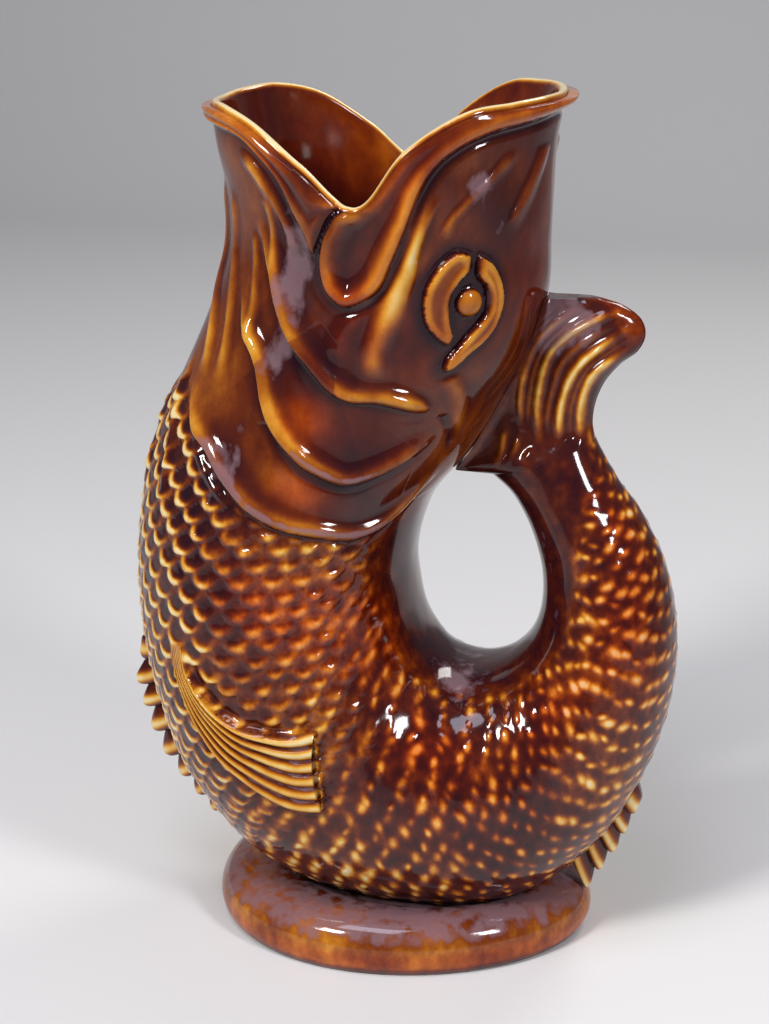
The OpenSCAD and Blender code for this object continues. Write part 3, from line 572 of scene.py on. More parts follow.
def scale_columns(net, wide, long):
    """Column number of every spot, from the middle of the side, and the running number of scales down each
    column: the length of skin along the column over the scales' length."""
    t, _, point = net
    step = np.linalg.norm(np.diff(point, axis=1), axis=-1)
    ring_mm = np.hstack([np.zeros((len(t), 1)), np.cumsum(step, axis=1)])
    ring_mm -= ring_mm[:, [int(90 / NET_COL)]]
    column = ring_mm / wide
    column = column / (1 + BELLY_GROWTH * np.tanh(column / 3))
    most = int(np.abs(column).max()) + 3
    counts = np.arange(-most, most + 1)
    line_a = np.stack([np.interp(counts, column[i], NET_A) for i in range(len(t))])
    run = np.linalg.norm(np.diff(skin(t[:, :1], line_a), axis=0), axis=-1) / long[1:, :1]
    return column, np.vstack([np.zeros((1, len(counts))), np.cumsum(run, axis=0)])


def beyond_gills(shape):
    """1 where the scales are free of the outer gill cover, for rows and columns of the scales' window."""
    _, net = window((SCALE_SPAN[0], GILL_SPAN[1]))
    d, u = to_line(net, line_of(GILL_3))
    # Past the ends of its edge line, a ring number stands for the edge
    below, above = (np.clip((net[0] - ring) * GILL_END_MM, -5, 5) for ring in GILL_END_RINGS)
    beyond = np.where(u > 0.999, above, np.where(u < 0.001, below, -d - 0.9))
    free = np.ones(shape)
    free[:len(d)] = smooth(beyond / 1.8)
    return free


def scales(height, covered, scale_h):
    """Scales in staggered rows. On the front they overlap like tiles: each is a dished disc whose free edge
    stands up, and it hides the roots of the two behind it. Towards the tail they shrink to low beads. Their
    columns run along the fish at a steady distance from the middle of the side, and their rows follow each
    column's length. Returns where the scales are, how much of the glaze has run off them, how much has
    gathered in them, and where they are beads, in the rows of their window."""
    rows, net = window(SCALE_SPAN)
    t, a, _ = net
    wide = np.interp(t, SCALE_RINGS, SCALE_WIDTHS)
    long = np.interp(t, SCALE_RINGS, SCALE_LENGTHS)
    column, flow = scale_columns(net, wide, long)
    most = flow.shape[1] // 2
    row_index = np.arange(len(t))[:, None]
    bead = np.maximum(onset(t, *BEAD_RINGS), onset(a, *BACK_BEAD_ANGLES) * onset(t, *BACK_BEAD_RINGS))
    belly = onset(a, *BELLY_ANGLES)
    front = np.full(t.shape, OUTSIDE)
    leaf_r = np.ones(t.shape)
    leaf_v = np.zeros(t.shape)
    spot = np.zeros(t.shape)
    size = 0.99 * wide
    stray = mix(0.16, 0.44, bead)
    for shift in (-1, 0, 1):
        k = np.rint(column) + shift
        u = flow[row_index, (k + most).astype(int)] + 0.5 * (k % 2)
        n = np.rint(u)
        grow = 1 + BELLY_GROWTH * np.tanh(k / 3)
        du = (u - n - stray * 0.7 * (chance(k, n, 1.7) - 0.5)) * long
        dv = (column - k - stray * (chance(k, n, 5.1) - 0.5)) * wide * grow
        r = np.hypot(du, dv) / (size * grow * (0.86 + 0.18 * chance(k, n, 3.3)))
        ahead = (r < 1) & (du > front)
        front = np.where(ahead, du, front)
        leaf_r = np.where(ahead, r, leaf_r)
        leaf_v = np.where(ahead, dv / wide, leaf_v)
        slant = du - (0.7 * chance(k, n, 2.9) - 0.1) * dv
        grown = 0.66 + 0.50 * chance(k, n, 7.7)
        lit = (0.55 + 0.45 * chance(k, n, 9.2)) * np.exp(-(slant / (0.36 * wide * grown)) ** 2
                                                        - (dv / (0.56 * wide * grown)) ** 2)
        spot = np.maximum(spot, lit)
    hit = front > OUTSIDE + 1
    s = np.where(hit, front / size, 0)
    on_belly = bell(leaf_r - 0.78, 0.17) * smooth((s + 0.35) / 0.60) * bell(leaf_v - 0.28, 0.52)
    on_flank = bell(leaf_r - 0.58, 0.30) * smooth((s + 0.05) / 0.50) * bell(leaf_v - 0.08, 0.52)
    crest = np.where(hit, mix(on_flank, on_belly, belly), 0)
    hollow = np.where(hit, bell(leaf_r - 0.25, 0.38), 0.8)
    leaf = np.where(hit, 0.14 + 0.30 * smooth((s + 0.8) / 1.6) + 0.58 * crest - 0.12 * hollow, 0)
    smooth_back = smooth((a - np.interp(t, BACK_RINGS, BACK_ANGLES)) / 9)
    field = smooth_back * beyond_gills(t.shape) * (1 - covered[rows])
    height[rows] += scale_h * field * mix(leaf, 0.28 * spot, bead)
    run_off = mix(np.minimum(1.15 * crest, 1), np.minimum(1.25 * spot, 1), bead)
    gathered = mix(hollow * (0.3 + 0.7 * belly), 0.35 * (1 - spot), bead)
    return field, run_off, gathered, bead


def waviness(point):
    """Hand-made unevenness: a few slow waves over the surface."""
    x, y, z = np.moveaxis(point, -1, 0)
    return (0.10 * np.sin(x * 0.21 + z * 0.13 + 0.7) * np.sin(z * 0.17 - x * 0.08)
            + 0.07 * np.sin(x * 0.37 - z * 0.29 + 2.1) * np.sin(np.abs(y) * 0.23 + 0.4))


def softened(field, width):
    """Field blurred by a bell curve of a width in millimetres, folded over at the back and the belly."""
    pad = int(4 * width / NET_ROW) + 1
    cols = int(4 * width / NET_COL_MM) + 1
    big = np.pad(np.pad(field, ((pad, pad), (0, 0)), mode="edge"), ((0, 0), (cols, cols)), mode="reflect")
    fr = np.fft.fftfreq(big.shape[0], NET_ROW)[:, None]
    fc = np.fft.rfftfreq(big.shape[1], NET_COL_MM)[None, :]
    blur = np.exp(-2 * (math.pi * width) ** 2 * (fr ** 2 + fc ** 2))
    soft = np.fft.irfft2(np.fft.rfft2(big) * blur, big.shape)
    return soft[pad:-pad, cols:-cols]


# Patches where the glaze ran thin or pooled by chance: [ring number, angle], size across and along in
# millimetres, change of the glaze's depth, redness (below zero it is a milky veil, mostly a painted
# reflection of light from above)
PATCHES = [
    ([5.92, 92], 9, 9, -0.20, 1.0),
    ([7.12, 83], 9, 6, -0.20, 1.0),
    ([6.40, 64], 13, 9, 0.16, 0.6),
    ([7.30, 56], 12, 8, 0.16, 0.5),
    ([4.30, 90], 8, 14, 0.16, 1.0),
    ([5.20, 97], 6, 8, 0.16, 0.6),
    ([6.60, 112], 8, 16, 0.14, -0.5),
    ([3.40, 108], 5, 14, 0.18, -0.45),
    ([2.70, 96], 4, 6, 0.12, -0.55),
    ([4.60, 64], 8, 7, 0.12, 0.7),
    ([2.10, 44], 8, 9, 0.16, -0.2),
    ([1.50, 50], 13, 5, 0.08, -0.50),
    ([2.50, 36], 7, 7, 0.12, -0.50),
    ([3.30, 114], 5, 14, 0.12, -0.56),
    ([4.90, 108], 6, 9, 0.10, -0.54),
    ([1.60, 107], 4, 16, 0.04, -0.50),
    ([2.30, 92], 7, 8, 0.06, -0.46),
    ([5.10, 85], 13, 4, 0.08, -0.52),
    ([5.60, 31], 8, 6, 0.08, -0.54),
    ([4.50, 3], 10, 14, 0.08, -0.56),
    ([2.88, 70], 3.4, 7, -0.22, 0.0),
    ([3.80, 76], 3.6, 9, -0.20, 0.1),
    ([1.60, 72], 4, 7, -0.14, 0.0),
    ([1.46, 126], 4, 8, -0.14, 0.1),
    ([4.68, 146], 5, 10, -0.12, 0.1),
    ([3.68, 53], 10, 12, -0.07, 0.0),
    ([1.30, 70], 10, 10, 0.10, 0.3),
    ([1.00, 110], 14, 12, 0.14, 0.2),
    ([0.80, 20], 34, 7, 0.16, 0.5),
    ([3.30, 20], 12, 22, 0.04, 0.9),
    ([5.40, 24], 14, 16, 0.14, 0.4),
    ([8.90, 74], 20, 12, -0.04, 0.9),
    ([9.80, 52], 18, 16, -0.06, 0.8),
    ([10.2, 32], 12, 16, -0.02, 1.0),
    ([8.80, 96], 9, 10, 0.08, 0.2),
    ([12.6, 48], 12, 12, -0.06, 0.9),
    ([13.1, 22], 18, 14, 0.10, -0.7),
    ([14.2, 96], 26, 18, 0.10, 0.2),
    ([13.6, 62], 22, 18, 0.02, 0.6),
    ([15.6, 60], 16, 12, -0.05, 0.9),
    ([17.5, 110], 26, 24, 0.00, 0.9),
    ([19.4, 130], 16, 20, -0.02, 0.8),
    ([18.6, 40], 16, 30, 0.08, -0.35),
]
# Glaze on each kind of place: its depth on the flat, and the least that stays on what stands out
PLAIN_GLAZE = (0.455, 0.20)
LEAF_GLAZE = (0.54, 0.37)
LIP_GLAZE = (0.46, 0.23)
GROOVE_GLAZE = (0.62, 0.50)
PUPIL_GLAZE = (0.42, 0.26)
# How glaze gathers: width in millimetres over which a place is weighed against its surroundings, and depth
# gained for each millimetre that it lies below them
GATHERING = ((1.0, 0.24), (3.0, 0.17))
# Soft steps over which the dark strip along the back and the painted highlight on the ribbons of the gill
# covers set in: start and width in ring numbers
STRIP_RINGS = (7.6, 1.0)
RIBBON_SHEEN_RINGS = (5.5, 1.2)


def scale_glaze(t, a, run_off, gathered, bead):
    """Depth of the glaze on the scales: it falls from their ground to the thinnest where the glaze runs off,
    most of all on the breast, and rises where it gathers."""
    front = onset(a, *BREAST_ANGLES) * onset(t, *BREAST_RINGS)
    low = onset(a, *FLANK_ANGLES) * onset(t, *FLANK_RINGS)
    thinnest = mix(mix(0.18, 0.0, front), 0.10, bead * low)
    ground = mix(mix(0.48, 0.56, front), 0.54, bead)
    crest = np.clip(run_off, 0, 1) ** mix(1.0, 0.62, front)
    return ground - crest * (ground - thinnest) * mix(1.05, 1.40, front) + 0.22 * gathered


def carve(scale_h):
    """Works out the relief's height, the glaze's depth and its redness together with the painted sheen, and
    the cover of the stuck-on members over the whole net. The glaze runs off what stands out, down to the
    least depth of its place, and gathers in hollows."""
    t, a = np.meshgrid(NET_T, NET_A, indexing="ij")
    point = skin(t, a)
    height, cover, fin_cover, warm = np.zeros((4, *t.shape))
    ground, least = (np.full(t.shape, value) for value in PLAIN_GLAZE)

    def lay(span, weight, depths):
        """Sets the depth and the least depth of the glaze where a weight is 1."""
        rows = rows_of(span)
        for table, value in zip((ground, least), depths):
            table[rows] = mix(table[rows], value, weight)

    strokes(height)
    leaves, ribbon_sheen = gills(height, cover)
    lay(GILL_SPAN, leaves, LEAF_GLAZE)
    lip = lips(height, cover)
    lay(LIP_SPAN, lip, LIP_GLAZE)
    groove, pupil = eyes(height, cover)
    lay(EYE_SPAN, groove, GROOVE_GLAZE)
    lay(EYE_SPAN, pupil, PUPIL_GLAZE)
    fin, ray = pectorals(height, fin_cover)
    relief = height.copy()
    field, run_off, gathered, bead = scales(height, fin_cover, scale_h)
    height += waviness(point)
    pool = ground
    for width, gain in GATHERING:
        pool = pool + gain * (softened(relief, width) - relief)
    pool = np.maximum(pool, least)
    rows = rows_of(SCALE_SPAN)
    pool[rows] = mix(pool[rows], scale_glaze(t[rows], a[rows], run_off, gathered, bead), field)
    fin_rows = rows_of(PECTORAL_SPAN)
    pool[fin_rows] = mix(pool[fin_rows], 0.66 - 0.60 * ray ** 1.4, fin)
    strip = 1 - smooth((a - np.interp(t, BACK_RINGS, BACK_ANGLES) + 6) / 12)
    pool += 0.22 * strip * onset(t, *STRIP_RINGS)
    for (ring, angle), across, length, depth, redness in PATCHES:
        gap = np.linalg.norm(point - skin(ring, angle), axis=-1)
        over = np.abs(a - angle) * DEGREE
        patch = np.exp(-(over / across) ** 2 - np.maximum(gap ** 2 - over ** 2, 0) / length ** 2)
        pool += depth * patch
        warm += redness * patch
    warm[rows_of(LIP_SPAN)] += 0.42 * lip
    rows = rows_of(GILL_SPAN)
    # Painted highlight: a lavender sheen along the ribbons of the gill covers, over a middling glaze depth
    ribbon_sheen = 0.85 * ribbon_sheen * onset(t[rows], *RIBBON_SHEEN_RINGS)
    warm[rows] = mix(warm[rows], -0.95, ribbon_sheen)
    pool[rows] = mix(pool[rows], 0.46, 0.7 * ribbon_sheen)
    # Milky veil in the grooves between the pectoral fins' rays, mostly a painted reflection
    warm[fin_rows] = mix(warm[fin_rows], -0.80, fin * (1 - ray) ** 1.5)
    TABLES.update(height=height, cover=np.maximum(cover, fin_cover), pool=np.clip(pool, 0, 1),
                  warm=np.clip(warm, -1, 1))


# Edges sharper than this, in degrees, aren't smoothed
SHARP_ANGLE = 62


def new_mesh(name, points, faces, pool, warm):
    """Mesh object from points in millimetres, with its faces shaded smooth, and the glaze's depth and its
    redness, which below zero is a painted sheen, kept on it."""
    mesh = bpy.data.meshes.new(name)
    mesh.from_pydata((points * MM).tolist(), [], faces)
    mesh.shade_smooth()
    for label, values in (("pool", pool), ("warm", warm)):
        table = mesh.attributes.new(label, "FLOAT", "POINT")
        table.data.foreach_set("value", np.ascontiguousarray(values, dtype=np.float32))
    piece = bpy.data.objects.new(name, mesh)
    bpy.context.scene.collection.objects.link(piece)
    mesh.set_sharp_from_angle(angle=math.radians(SHARP_ANGLE))
    mesh.update()
    return piece


def ring_faces(rows, cols, joined):
    """Faces between rings of points; joined, the last ring meets the first."""
    last = rows if joined else rows - 1
    i, j = np.meshgrid(np.arange(last), np.arange(cols), indexing="ij")
    a, b = i * cols + j, i * cols + (j + 1) % cols
    c, d = ((i + 1) % rows) * cols + (j + 1) % cols, ((i + 1) % rows) * cols + j
    return np.stack([a, d, c, b], -1).reshape(-1, 4)


def closed_rings(name, rings, pool, joined=True, warm=0.0):
    """Closed piece through rings of points; the ends are capped with a fan when the rings aren't joined."""
    rows, cols = rings.shape[:2]
    points = rings.reshape(-1, 3)
    faces = ring_faces(rows, cols, joined).tolist()
    pool, warm = (np.broadcast_to(table, rings.shape[:2]).ravel() for table in (pool, warm))
    if joined:
        return new_mesh(name, points, faces, pool, warm)
    points = np.vstack([points, rings[0].mean(0), rings[-1].mean(0)])
    j = np.arange(cols)
    k = (j + 1) % cols
    top = (rows - 1) * cols
    low_end, high_end = np.full(cols, rows * cols), np.full(cols, rows * cols + 1)
    caps = np.vstack([np.stack([low_end, j, k], -1), np.stack([high_end, top + k, top + j], -1)]).tolist()
    pool, warm = (np.append(table, table[[0, -1]]) for table in (pool, warm))
    return new_mesh(name, points, faces + caps, pool, warm)


# How far the skin is let down under the stuck-on members, in millimetres
UNDER_MEMBERS = -0.30
# Glaze depth and redness inside the jug, and the depth round the rim from its inside to its outside
INNER_POOL = 0.60
INNER_WARM = 0.65
RIM_POOLS = [0.34, 0.12, -0.25, -0.25, -0.15, 0.14, 0.28]


def carved(t, a):
    """Relief and glaze of the skin, let down under the stuck-on members."""
    under = smooth((net_value("cover", t, a) - 0.35) / 0.65)
    height = mix(net_value("height", t, a), UNDER_MEMBERS, under)
    return height, net_value("pool", t, a), net_value("warm", t, a)


def round_angles(cols):
    """Angles in degrees all the way round, evenly spaced."""
    return np.arange(cols) * 360.0 / cols


def shell(name, start, end, rows, inner_rows, rim=0.0, floor=None):
    """Closed shell between two ring numbers, given for each angle: outside the skin with its relief, inside
    the skin pushed in by the wall. A rim is rounded by a few rings whose lift follows a half circle, and the
    rings beside it are drawn down with it."""
    a = round_angles(len(start))
    dip = rim * 0.5 / RING_PITCH
    f = np.linspace(0, 1, rows + 1)[:, None]
    g = np.linspace(1, 0, inner_rows + 1)[:, None]
    t = mix(start, end, f) + dip * (1 - f) ** 8
    lift, pool, warm = carved(t, a)
    depth = mix(rim, WALL, smooth(3 * g)) if rim else np.full(g.shape, WALL)
    inner = skin(mix(start, end, g) + dip * (1 - g) ** 8, a, -depth)
    rings = [skin(t, a, lift), inner]
    pools = [pool, mix(INNER_POOL - 0.10, INNER_POOL, smooth(2.5 * g)) + 0 * inner[..., 0]]
    warms = [warm, np.full(inner.shape[:2], INNER_WARM)]
    if rim:
        turn = np.radians(np.linspace(180, 0, len(RIM_POOLS) + 2)[1:-1])[:, None]
        middle, radius = (lift[:1] - rim) / 2, (lift[:1] + rim) / 2
        rings.append(skin(start + dip * (1 - np.sin(turn)), a, middle + radius * np.cos(turn)))
        pools.append(np.array(RIM_POOLS)[:, None] + 0 * rings[-1][..., 0])
        warms.append(np.zeros(rings[-1].shape[:2]))
    rings = np.concatenate(rings)
    if floor is not None:
        outside = np.arange(len(rings))[:, None] <= rows
        rings[..., 2] = np.maximum(rings[..., 2], np.where(outside, floor, floor + WALL))
    return closed_rings(name, rings, np.concatenate(pools), warm=np.concatenate(warms))


# Stuck-on members, in millimetres: how far their top is let down where their cover ends, how far their
# underside lies below the plain skin, and how thin they may get
EDGE_DROP = 0.06
UNDERSIDE = -0.12
LEAST_T = 0.10


def sheet_faces(rows, cols):
    """Faces of a closed sheet: its top, its underside and the border between them."""
    i, j = np.meshgrid(np.arange(rows - 1), np.arange(cols - 1), indexing="ij")
    first = (i * cols + j).ravel()
    top = np.stack([first, first + 1, first + cols + 1, first + cols], -1)
    n = rows * cols
    edge = np.concatenate([np.arange(cols), np.arange(2, rows + 1) * cols - 1,
                           np.arange(n - 2, n - cols - 1, -1), np.arange(rows - 2, 0, -1) * cols])
    after = np.roll(edge, -1)
    return np.vstack([top, top[:, ::-1] + n, np.stack([edge, edge + n, after + n, after], -1)])


def member(name, t, a, mirrored=False):
    """Stuck-on member over a sheet of places: its top is the relief, let down a little where its cover ends,
    and its underside lies just below the plain skin."""
    top = net_value("height", t, a) - EDGE_DROP * (1 - net_value("cover", t, a))
    points = np.stack([skin(t, a, top), skin(t, a, np.minimum(UNDERSIDE, top - LEAST_T))])
    if mirrored:
        points = points * MIRROR
    rows, cols = t.shape
    points = points.reshape(-1, 3)
    faces = sheet_faces(rows, cols)
    # The sheet is turned the right way out: a face in its middle has to look away from the underside
    quad = faces[(rows - 1) * (cols - 1) // 2]
    corner, second, third = points[quad[:3]]
    if np.cross(second - corner, third - corner) @ (corner - points[quad[0] + rows * cols]) < 0:
        faces = faces[:, ::-1]
    pool, warm = (np.tile(net_value(label, t, a).ravel(), 2) for label in ("pool", "warm"))
    return new_mesh(name, points, faces.tolist(), pool, warm)


def pair(name, node, t, a, coat, slot):
    """Stuck-on member on the left side, and its mirror image on the right."""
    for side in ("left", "right"):
        finished(member(name + side, t, a, side == "right"), coat, slot, node + side)


def between(edge, other, rows, cols):
    """Sheet of places between two lines, blended straight across."""
    s = np.linspace(0, 1, rows)
    p = along(edge, s * (len(edge) - 1))[:, None, :]
    q = along(other, s * (len(other) - 1))[:, None, :]
    sheet = mix(p, q, np.linspace(0, 1, cols)[None, :, None])
    return sheet[..., 0], sheet[..., 1]


# Glaze from where it ran thin to where it pooled: place on the ramp, and the setting that gives its colour
GLAZE_STOPS = ((0.00, "bare"), (0.10, "thin"), (0.24, "amber"), (0.40, "treacle"), (0.58, "deep"),
               (0.85, "pooled"), (1.00, "pooled"))
# Red that deepens the glaze where its warmth is above zero
BLUSH = (1.0, 0.52, 0.45, 1.0)
# Coats of glaze: shift of the depth, and strength of the streaks and of the mottles
COATS = {
    "Head Glaze": (0.0, 0.16, 0.16),
    "Body Glaze": (0.0, 0.12, 0.66),
    "Tail Fin Glaze": (0.0, 0.12, 0.42),
    "Amber Glaze": (0.0, 0.14, 0.14),
    "Dark Fin Glaze": (-0.08, 0.20, 0.20),
    "Fin Glaze": (-0.12, 0.20, 0.10),
    "Foot Glaze": (0.0, 0.20, 0.34),
}
# Orange peel of the glaze: how strongly it tilts the surface, and how high it stands in metres
PEEL_TILT = 0.10
PEEL_H = 0.0006


def feed(tree, socket, source):
    """Gives a socket its value, or links another node's socket to it."""
    if isinstance(source, bpy.types.NodeSocket):
        tree.links.new(source, socket)
    else:
        socket.default_value = source


def mixed(tree, factor, first, second, blend="MIX"):
    """Colour mixed from two by a Mix node; each is a value or another node's socket."""
    node = tree.nodes.new("ShaderNodeMix")
    node.data_type = "RGBA"
    node.blend_type = blend
    colours = [socket for socket in node.inputs if socket.type == "RGBA"]
    feed(tree, [socket for socket in node.inputs if socket.type == "VALUE"][0], factor)
    feed(tree, colours[0], first)
    feed(tree, colours[1], second)
    return [socket for socket in node.outputs if socket.type == "RGBA"][0]


def glaze_group(look):
    """Shared node group. It turns the glaze's depth into colour: cream where it ran thin over an edge,
    amber, then treacle, and aubergine where it pooled, with streaks that run down and blotches from its
    firing."""
    group = bpy.data.node_groups.new("Run Glaze", "ShaderNodeTree")
    face = group.interface
    values = {"Depth": 0.4, "Warmth and Sheen": 0.0, "Shift": 0.0, "Streaks": 0.1, "Mottle": 0.3}
    for label, default in values.items():
        face.new_socket(label, in_out="INPUT", socket_type="NodeSocketFloat").default_value = default
    face.new_socket("Place", in_out="INPUT", socket_type="NodeSocketVector")
    for label, kind in (("Color", "NodeSocketColor"), ("Roughness", "NodeSocketFloat"),
                        ("Height", "NodeSocketFloat")):
        face.new_socket(label, in_out="OUTPUT", socket_type=kind)
    nodes, links = group.nodes, group.links
    start, end = nodes.new("NodeGroupInput"), nodes.new("NodeGroupOutput")
    given = start.outputs

    def sums(operation, a, b, clamp=False):
        """Math node on two values or sockets."""
        node = nodes.new("ShaderNodeMath")
        node.operation = operation
        node.use_clamp = clamp
        feed(group, node.inputs[0], a)
        feed(group, node.inputs[1], b)
        return node.outputs["Value"]

    def grain(label, scale, detail, upright):
        """Noise over the place, from minus to plus a half, stretched upright so that its grain runs down."""
        stretch = nodes.new("ShaderNodeMapping")
        stretch.inputs["Scale"].default_value = (1.0, 1.0, upright)
        cloud = nodes.new("ShaderNodeTexNoise")
        cloud.label = label
        cloud.inputs["Scale"].default_value = scale
        cloud.inputs["Detail"].default_value = detail
        links.new(given["Place"], stretch.inputs["Vector"])
        links.new(stretch.outputs["Vector"], cloud.inputs["Vector"])
        return sums("SUBTRACT", cloud.outputs["Fac"], 0.5)

    streak = grain("Streaks that run down", 160.0, 4.0, 0.22)
    blotch = grain("Blotches", 38.0, 3.0, 0.7)
    mottle = grain("Mottles", 260.0, 3.0, 0.8)
    speck = grain("Specks", 900.0, 2.0, 1.0)
    depth = sums("ADD", given["Depth"], given["Shift"])
    for noise, strength in ((streak, given["Streaks"]), (mottle, given["Mottle"]), (blotch, 0.50)):
        depth = sums("ADD", depth, sums("MULTIPLY", noise, strength))
    depth = sums("ADD", depth, sums("MULTIPLY", speck, 0.05), clamp=True)
    ramp = nodes.new("ShaderNodeValToRGB")
    ramp.color_ramp.interpolation = "B_SPLINE"
    stops = ramp.color_ramp.elements
    for place, _ in GLAZE_STOPS[1:-1]:
        stops.new(place)
    for stop, (_, setting) in zip(stops, GLAZE_STOPS):
        stop.color = (*getattr(look, setting), 1.0)
    links.new(depth, ramp.inputs["Fac"])
    redness = sums("ADD", given["Warmth and Sheen"], sums("MULTIPLY", blotch, 0.8), clamp=True)
    colour = mixed(group, redness, ramp.outputs["Color"], BLUSH, "MULTIPLY")
    # Milky veil, mostly a painted reflection of light from above, where the warmth is below zero, with a
    # ragged border
    ragged = sums("ADD", sums("MULTIPLY", streak, 0.9), sums("MULTIPLY", mottle, 0.9))
    veil_and_sheen_raw = sums("SUBTRACT", sums("SUBTRACT", ragged, given["Warmth and Sheen"]), 0.40)
    amount = sums("MULTIPLY", sums("MULTIPLY", veil_and_sheen_raw, 4.0, clamp=True), 0.5)
    links.new(mixed(group, amount, colour, (*look.veil_and_sheen, 1.0)), end.inputs["Color"])
    rough = sums("ADD", sums("MULTIPLY", blotch, 0.06), 0.085)
    links.new(sums("ADD", rough, sums("MULTIPLY", speck, 0.04), clamp=True), end.inputs["Roughness"])
    ripple = grain("Orange peel", 120.0, 2.0, 0.6)
    links.new(sums("ADD", ripple, sums("MULTIPLY", speck, 0.12)), end.inputs["Height"])
    return group


def glaze(name, look):
    """Glossy lead-like glaze over clay: a Principled shader fed by the shared group."""
    material = bpy.data.materials.new(name)
    material.use_nodes = True
    nodes, links = material.node_tree.nodes, material.node_tree.links
    shader = nodes["Principled BSDF"]
    shader.inputs["IOR"].default_value = look.gloss
    shared = nodes.new("ShaderNodeGroup")
    shared.node_tree = bpy.data.node_groups.get("Run Glaze") or glaze_group(look)
    for label, value in zip(("Shift", "Streaks", "Mottle"), COATS[name]):
        shared.inputs[label].default_value = value
    for label, attribute in (("Depth", "pool"), ("Warmth and Sheen", "warm")):
        table = nodes.new("ShaderNodeAttribute")
        table.attribute_name = attribute
        links.new(table.outputs["Fac"], shared.inputs[label])
    place = nodes.new("ShaderNodeTexCoord")
    bump = nodes.new("ShaderNodeBump")
    bump.inputs["Strength"].default_value = PEEL_TILT
    bump.inputs["Distance"].default_value = PEEL_H
    links.new(place.outputs["Object"], shared.inputs["Place"])
    links.new(shared.outputs["Color"], shader.inputs["Base Color"])
    links.new(shared.outputs["Roughness"], shader.inputs["Roughness"])
    links.new(shared.outputs["Height"], bump.inputs["Height"])
    links.new(bump.outputs["Normal"], shader.inputs["Normal"])
    return material


def tint(name, description, default):
    """Setting that holds a colour."""
    return bpy.props.FloatVectorProperty(name=name, description=description, subtype="COLOR", size=3,
                                         default=default, min=0.0, max=1.0)


class GlazeLook(bpy.types.PropertyGroup):
    """Colours and gloss of the treacle glaze."""

    bare: tint("Bare", "Body colour where the glaze ran off the rim", (0.74, 0.62, 0.36))
    thin: tint("Thin", "Glaze over the sharpest edges", (0.72, 0.43, 0.055))
    amber: tint("Amber", "Glaze over rounded ridges", (0.53, 0.175, 0.009))
    treacle: tint("Treacle", "Glaze of a middling depth", (0.190, 0.033, 0.004))
    deep: tint("Deep", "Glaze in shallow hollows", (0.060, 0.0075, 0.0038))
    pooled: tint("Pooled", "Glaze gathered in the grooves", (0.013, 0.0030, 0.0080))
    # Lavender veil colour, mostly a painted reflection of light from above on the glaze
    veil_and_sheen: tint("Veil and Sheen", "Milky lavender veil that lies in patches over the glaze", (0.29, 0.180, 0.205))
    gloss: bpy.props.FloatProperty(
        name="Gloss", description="Refraction index of the glaze, which sets how strongly it mirrors",
        default=1.46, min=1.3, max=1.8)


class CarvingSizes(bpy.types.PropertyGroup):
    """Sizes of the carving that a maker would change."""

    scale_height: bpy.props.FloatProperty(
        name="Scale Height", description="How far a scale's free edge stands out", subtype="DISTANCE",
        unit="LENGTH", default=0.0012, min=0.0004, max=0.0020)
    fin_ray_height: bpy.props.FloatProperty(
        name="Fin Ray Height", description="How far the rays of the tail fin stand out", subtype="DISTANCE",
        unit="LENGTH", default=0.0013, min=0.0004, max=0.0020)


class StudioLook(bpy.types.PropertyGroup):
    """Floor, lamps and lens of the plain studio."""

    floor: tint("Floor", "Colour of the floor and the backdrop", (0.72, 0.71, 0.70))
    floor_front: tint("Floor Front", "Colour of the floor towards the viewer", (0.38, 0.38, 0.39))
    key_power: bpy.props.FloatProperty(
        name="Key Power", description="Power of the main soft lamp", subtype="POWER", unit="POWER",
        default=9.0, min=0.5, max=40.0)
    lens: bpy.props.FloatProperty(
        name="Lens", description="Focal length of the camera", subtype="DISTANCE_CAMERA",
        default=68.8, min=20.0, max=200.0)


# Mesh grid of each piece: rings or rows, then spots round or across it. A shell has rows inside too.
HEAD_GRID = (170, 432)
BODY_GRID = (190, 420)
TAIL_GRID = (180, 300)
HEAD_INNER_ROWS = 60
BODY_INNER_ROWS = 24
TAIL_INNER_ROWS = 30
TAIL_FIN_GRID = (150, 360)
LOWER_LIP_GRID = (460, 48)
UPPER_LIP_GRID = (560, 48)
GILL_GRID = (220, 150)
EYE_GRID = (90, 24)
PUPIL_GRID = (16, 64)
PECTORAL_GRID = (150, 90)
# Rows for each lobe of a ridge fin, then spots across it
RIDGE_GRID = (34, 40)
FOOT_COLS = 288
# Bands of the body, as shares of the way from the neck's seam to the tail
BODY_BANDS = (("body_shoulder", 0.0, 0.36), ("body_flank", 0.36, 0.66), ("body_base", 0.66, 1.0))


def finished(piece, coat, slot, *nodes):
    """Gives a piece its coat of glaze, rides it on the one body and lets it stand for its nodes."""
    material = bpy.data.materials.get(coat) or glaze(coat, bpy.context.scene.jug_glaze)
    piece.data.materials.append(material)
    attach(piece, BODY)
    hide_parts(*nodes)
    return {"FINISHED"}


class JUG_OT_head(bpy.types.Operator):
    """Builds the head: a hollow shell from the mouth's rim to the neck, with carved cheeks and throat"""

    bl_idname = "jug.head"
    bl_label = "Head"

    def execute(self, context):
        rows, cols = HEAD_GRID
        a = round_angles(cols)
        piece = shell("head_skin", rim_t(a), seam_t(a), rows, HEAD_INNER_ROWS, rim=RIM_WALL)
        return finished(piece, "Head Glaze", "glaze_treacle", "head")


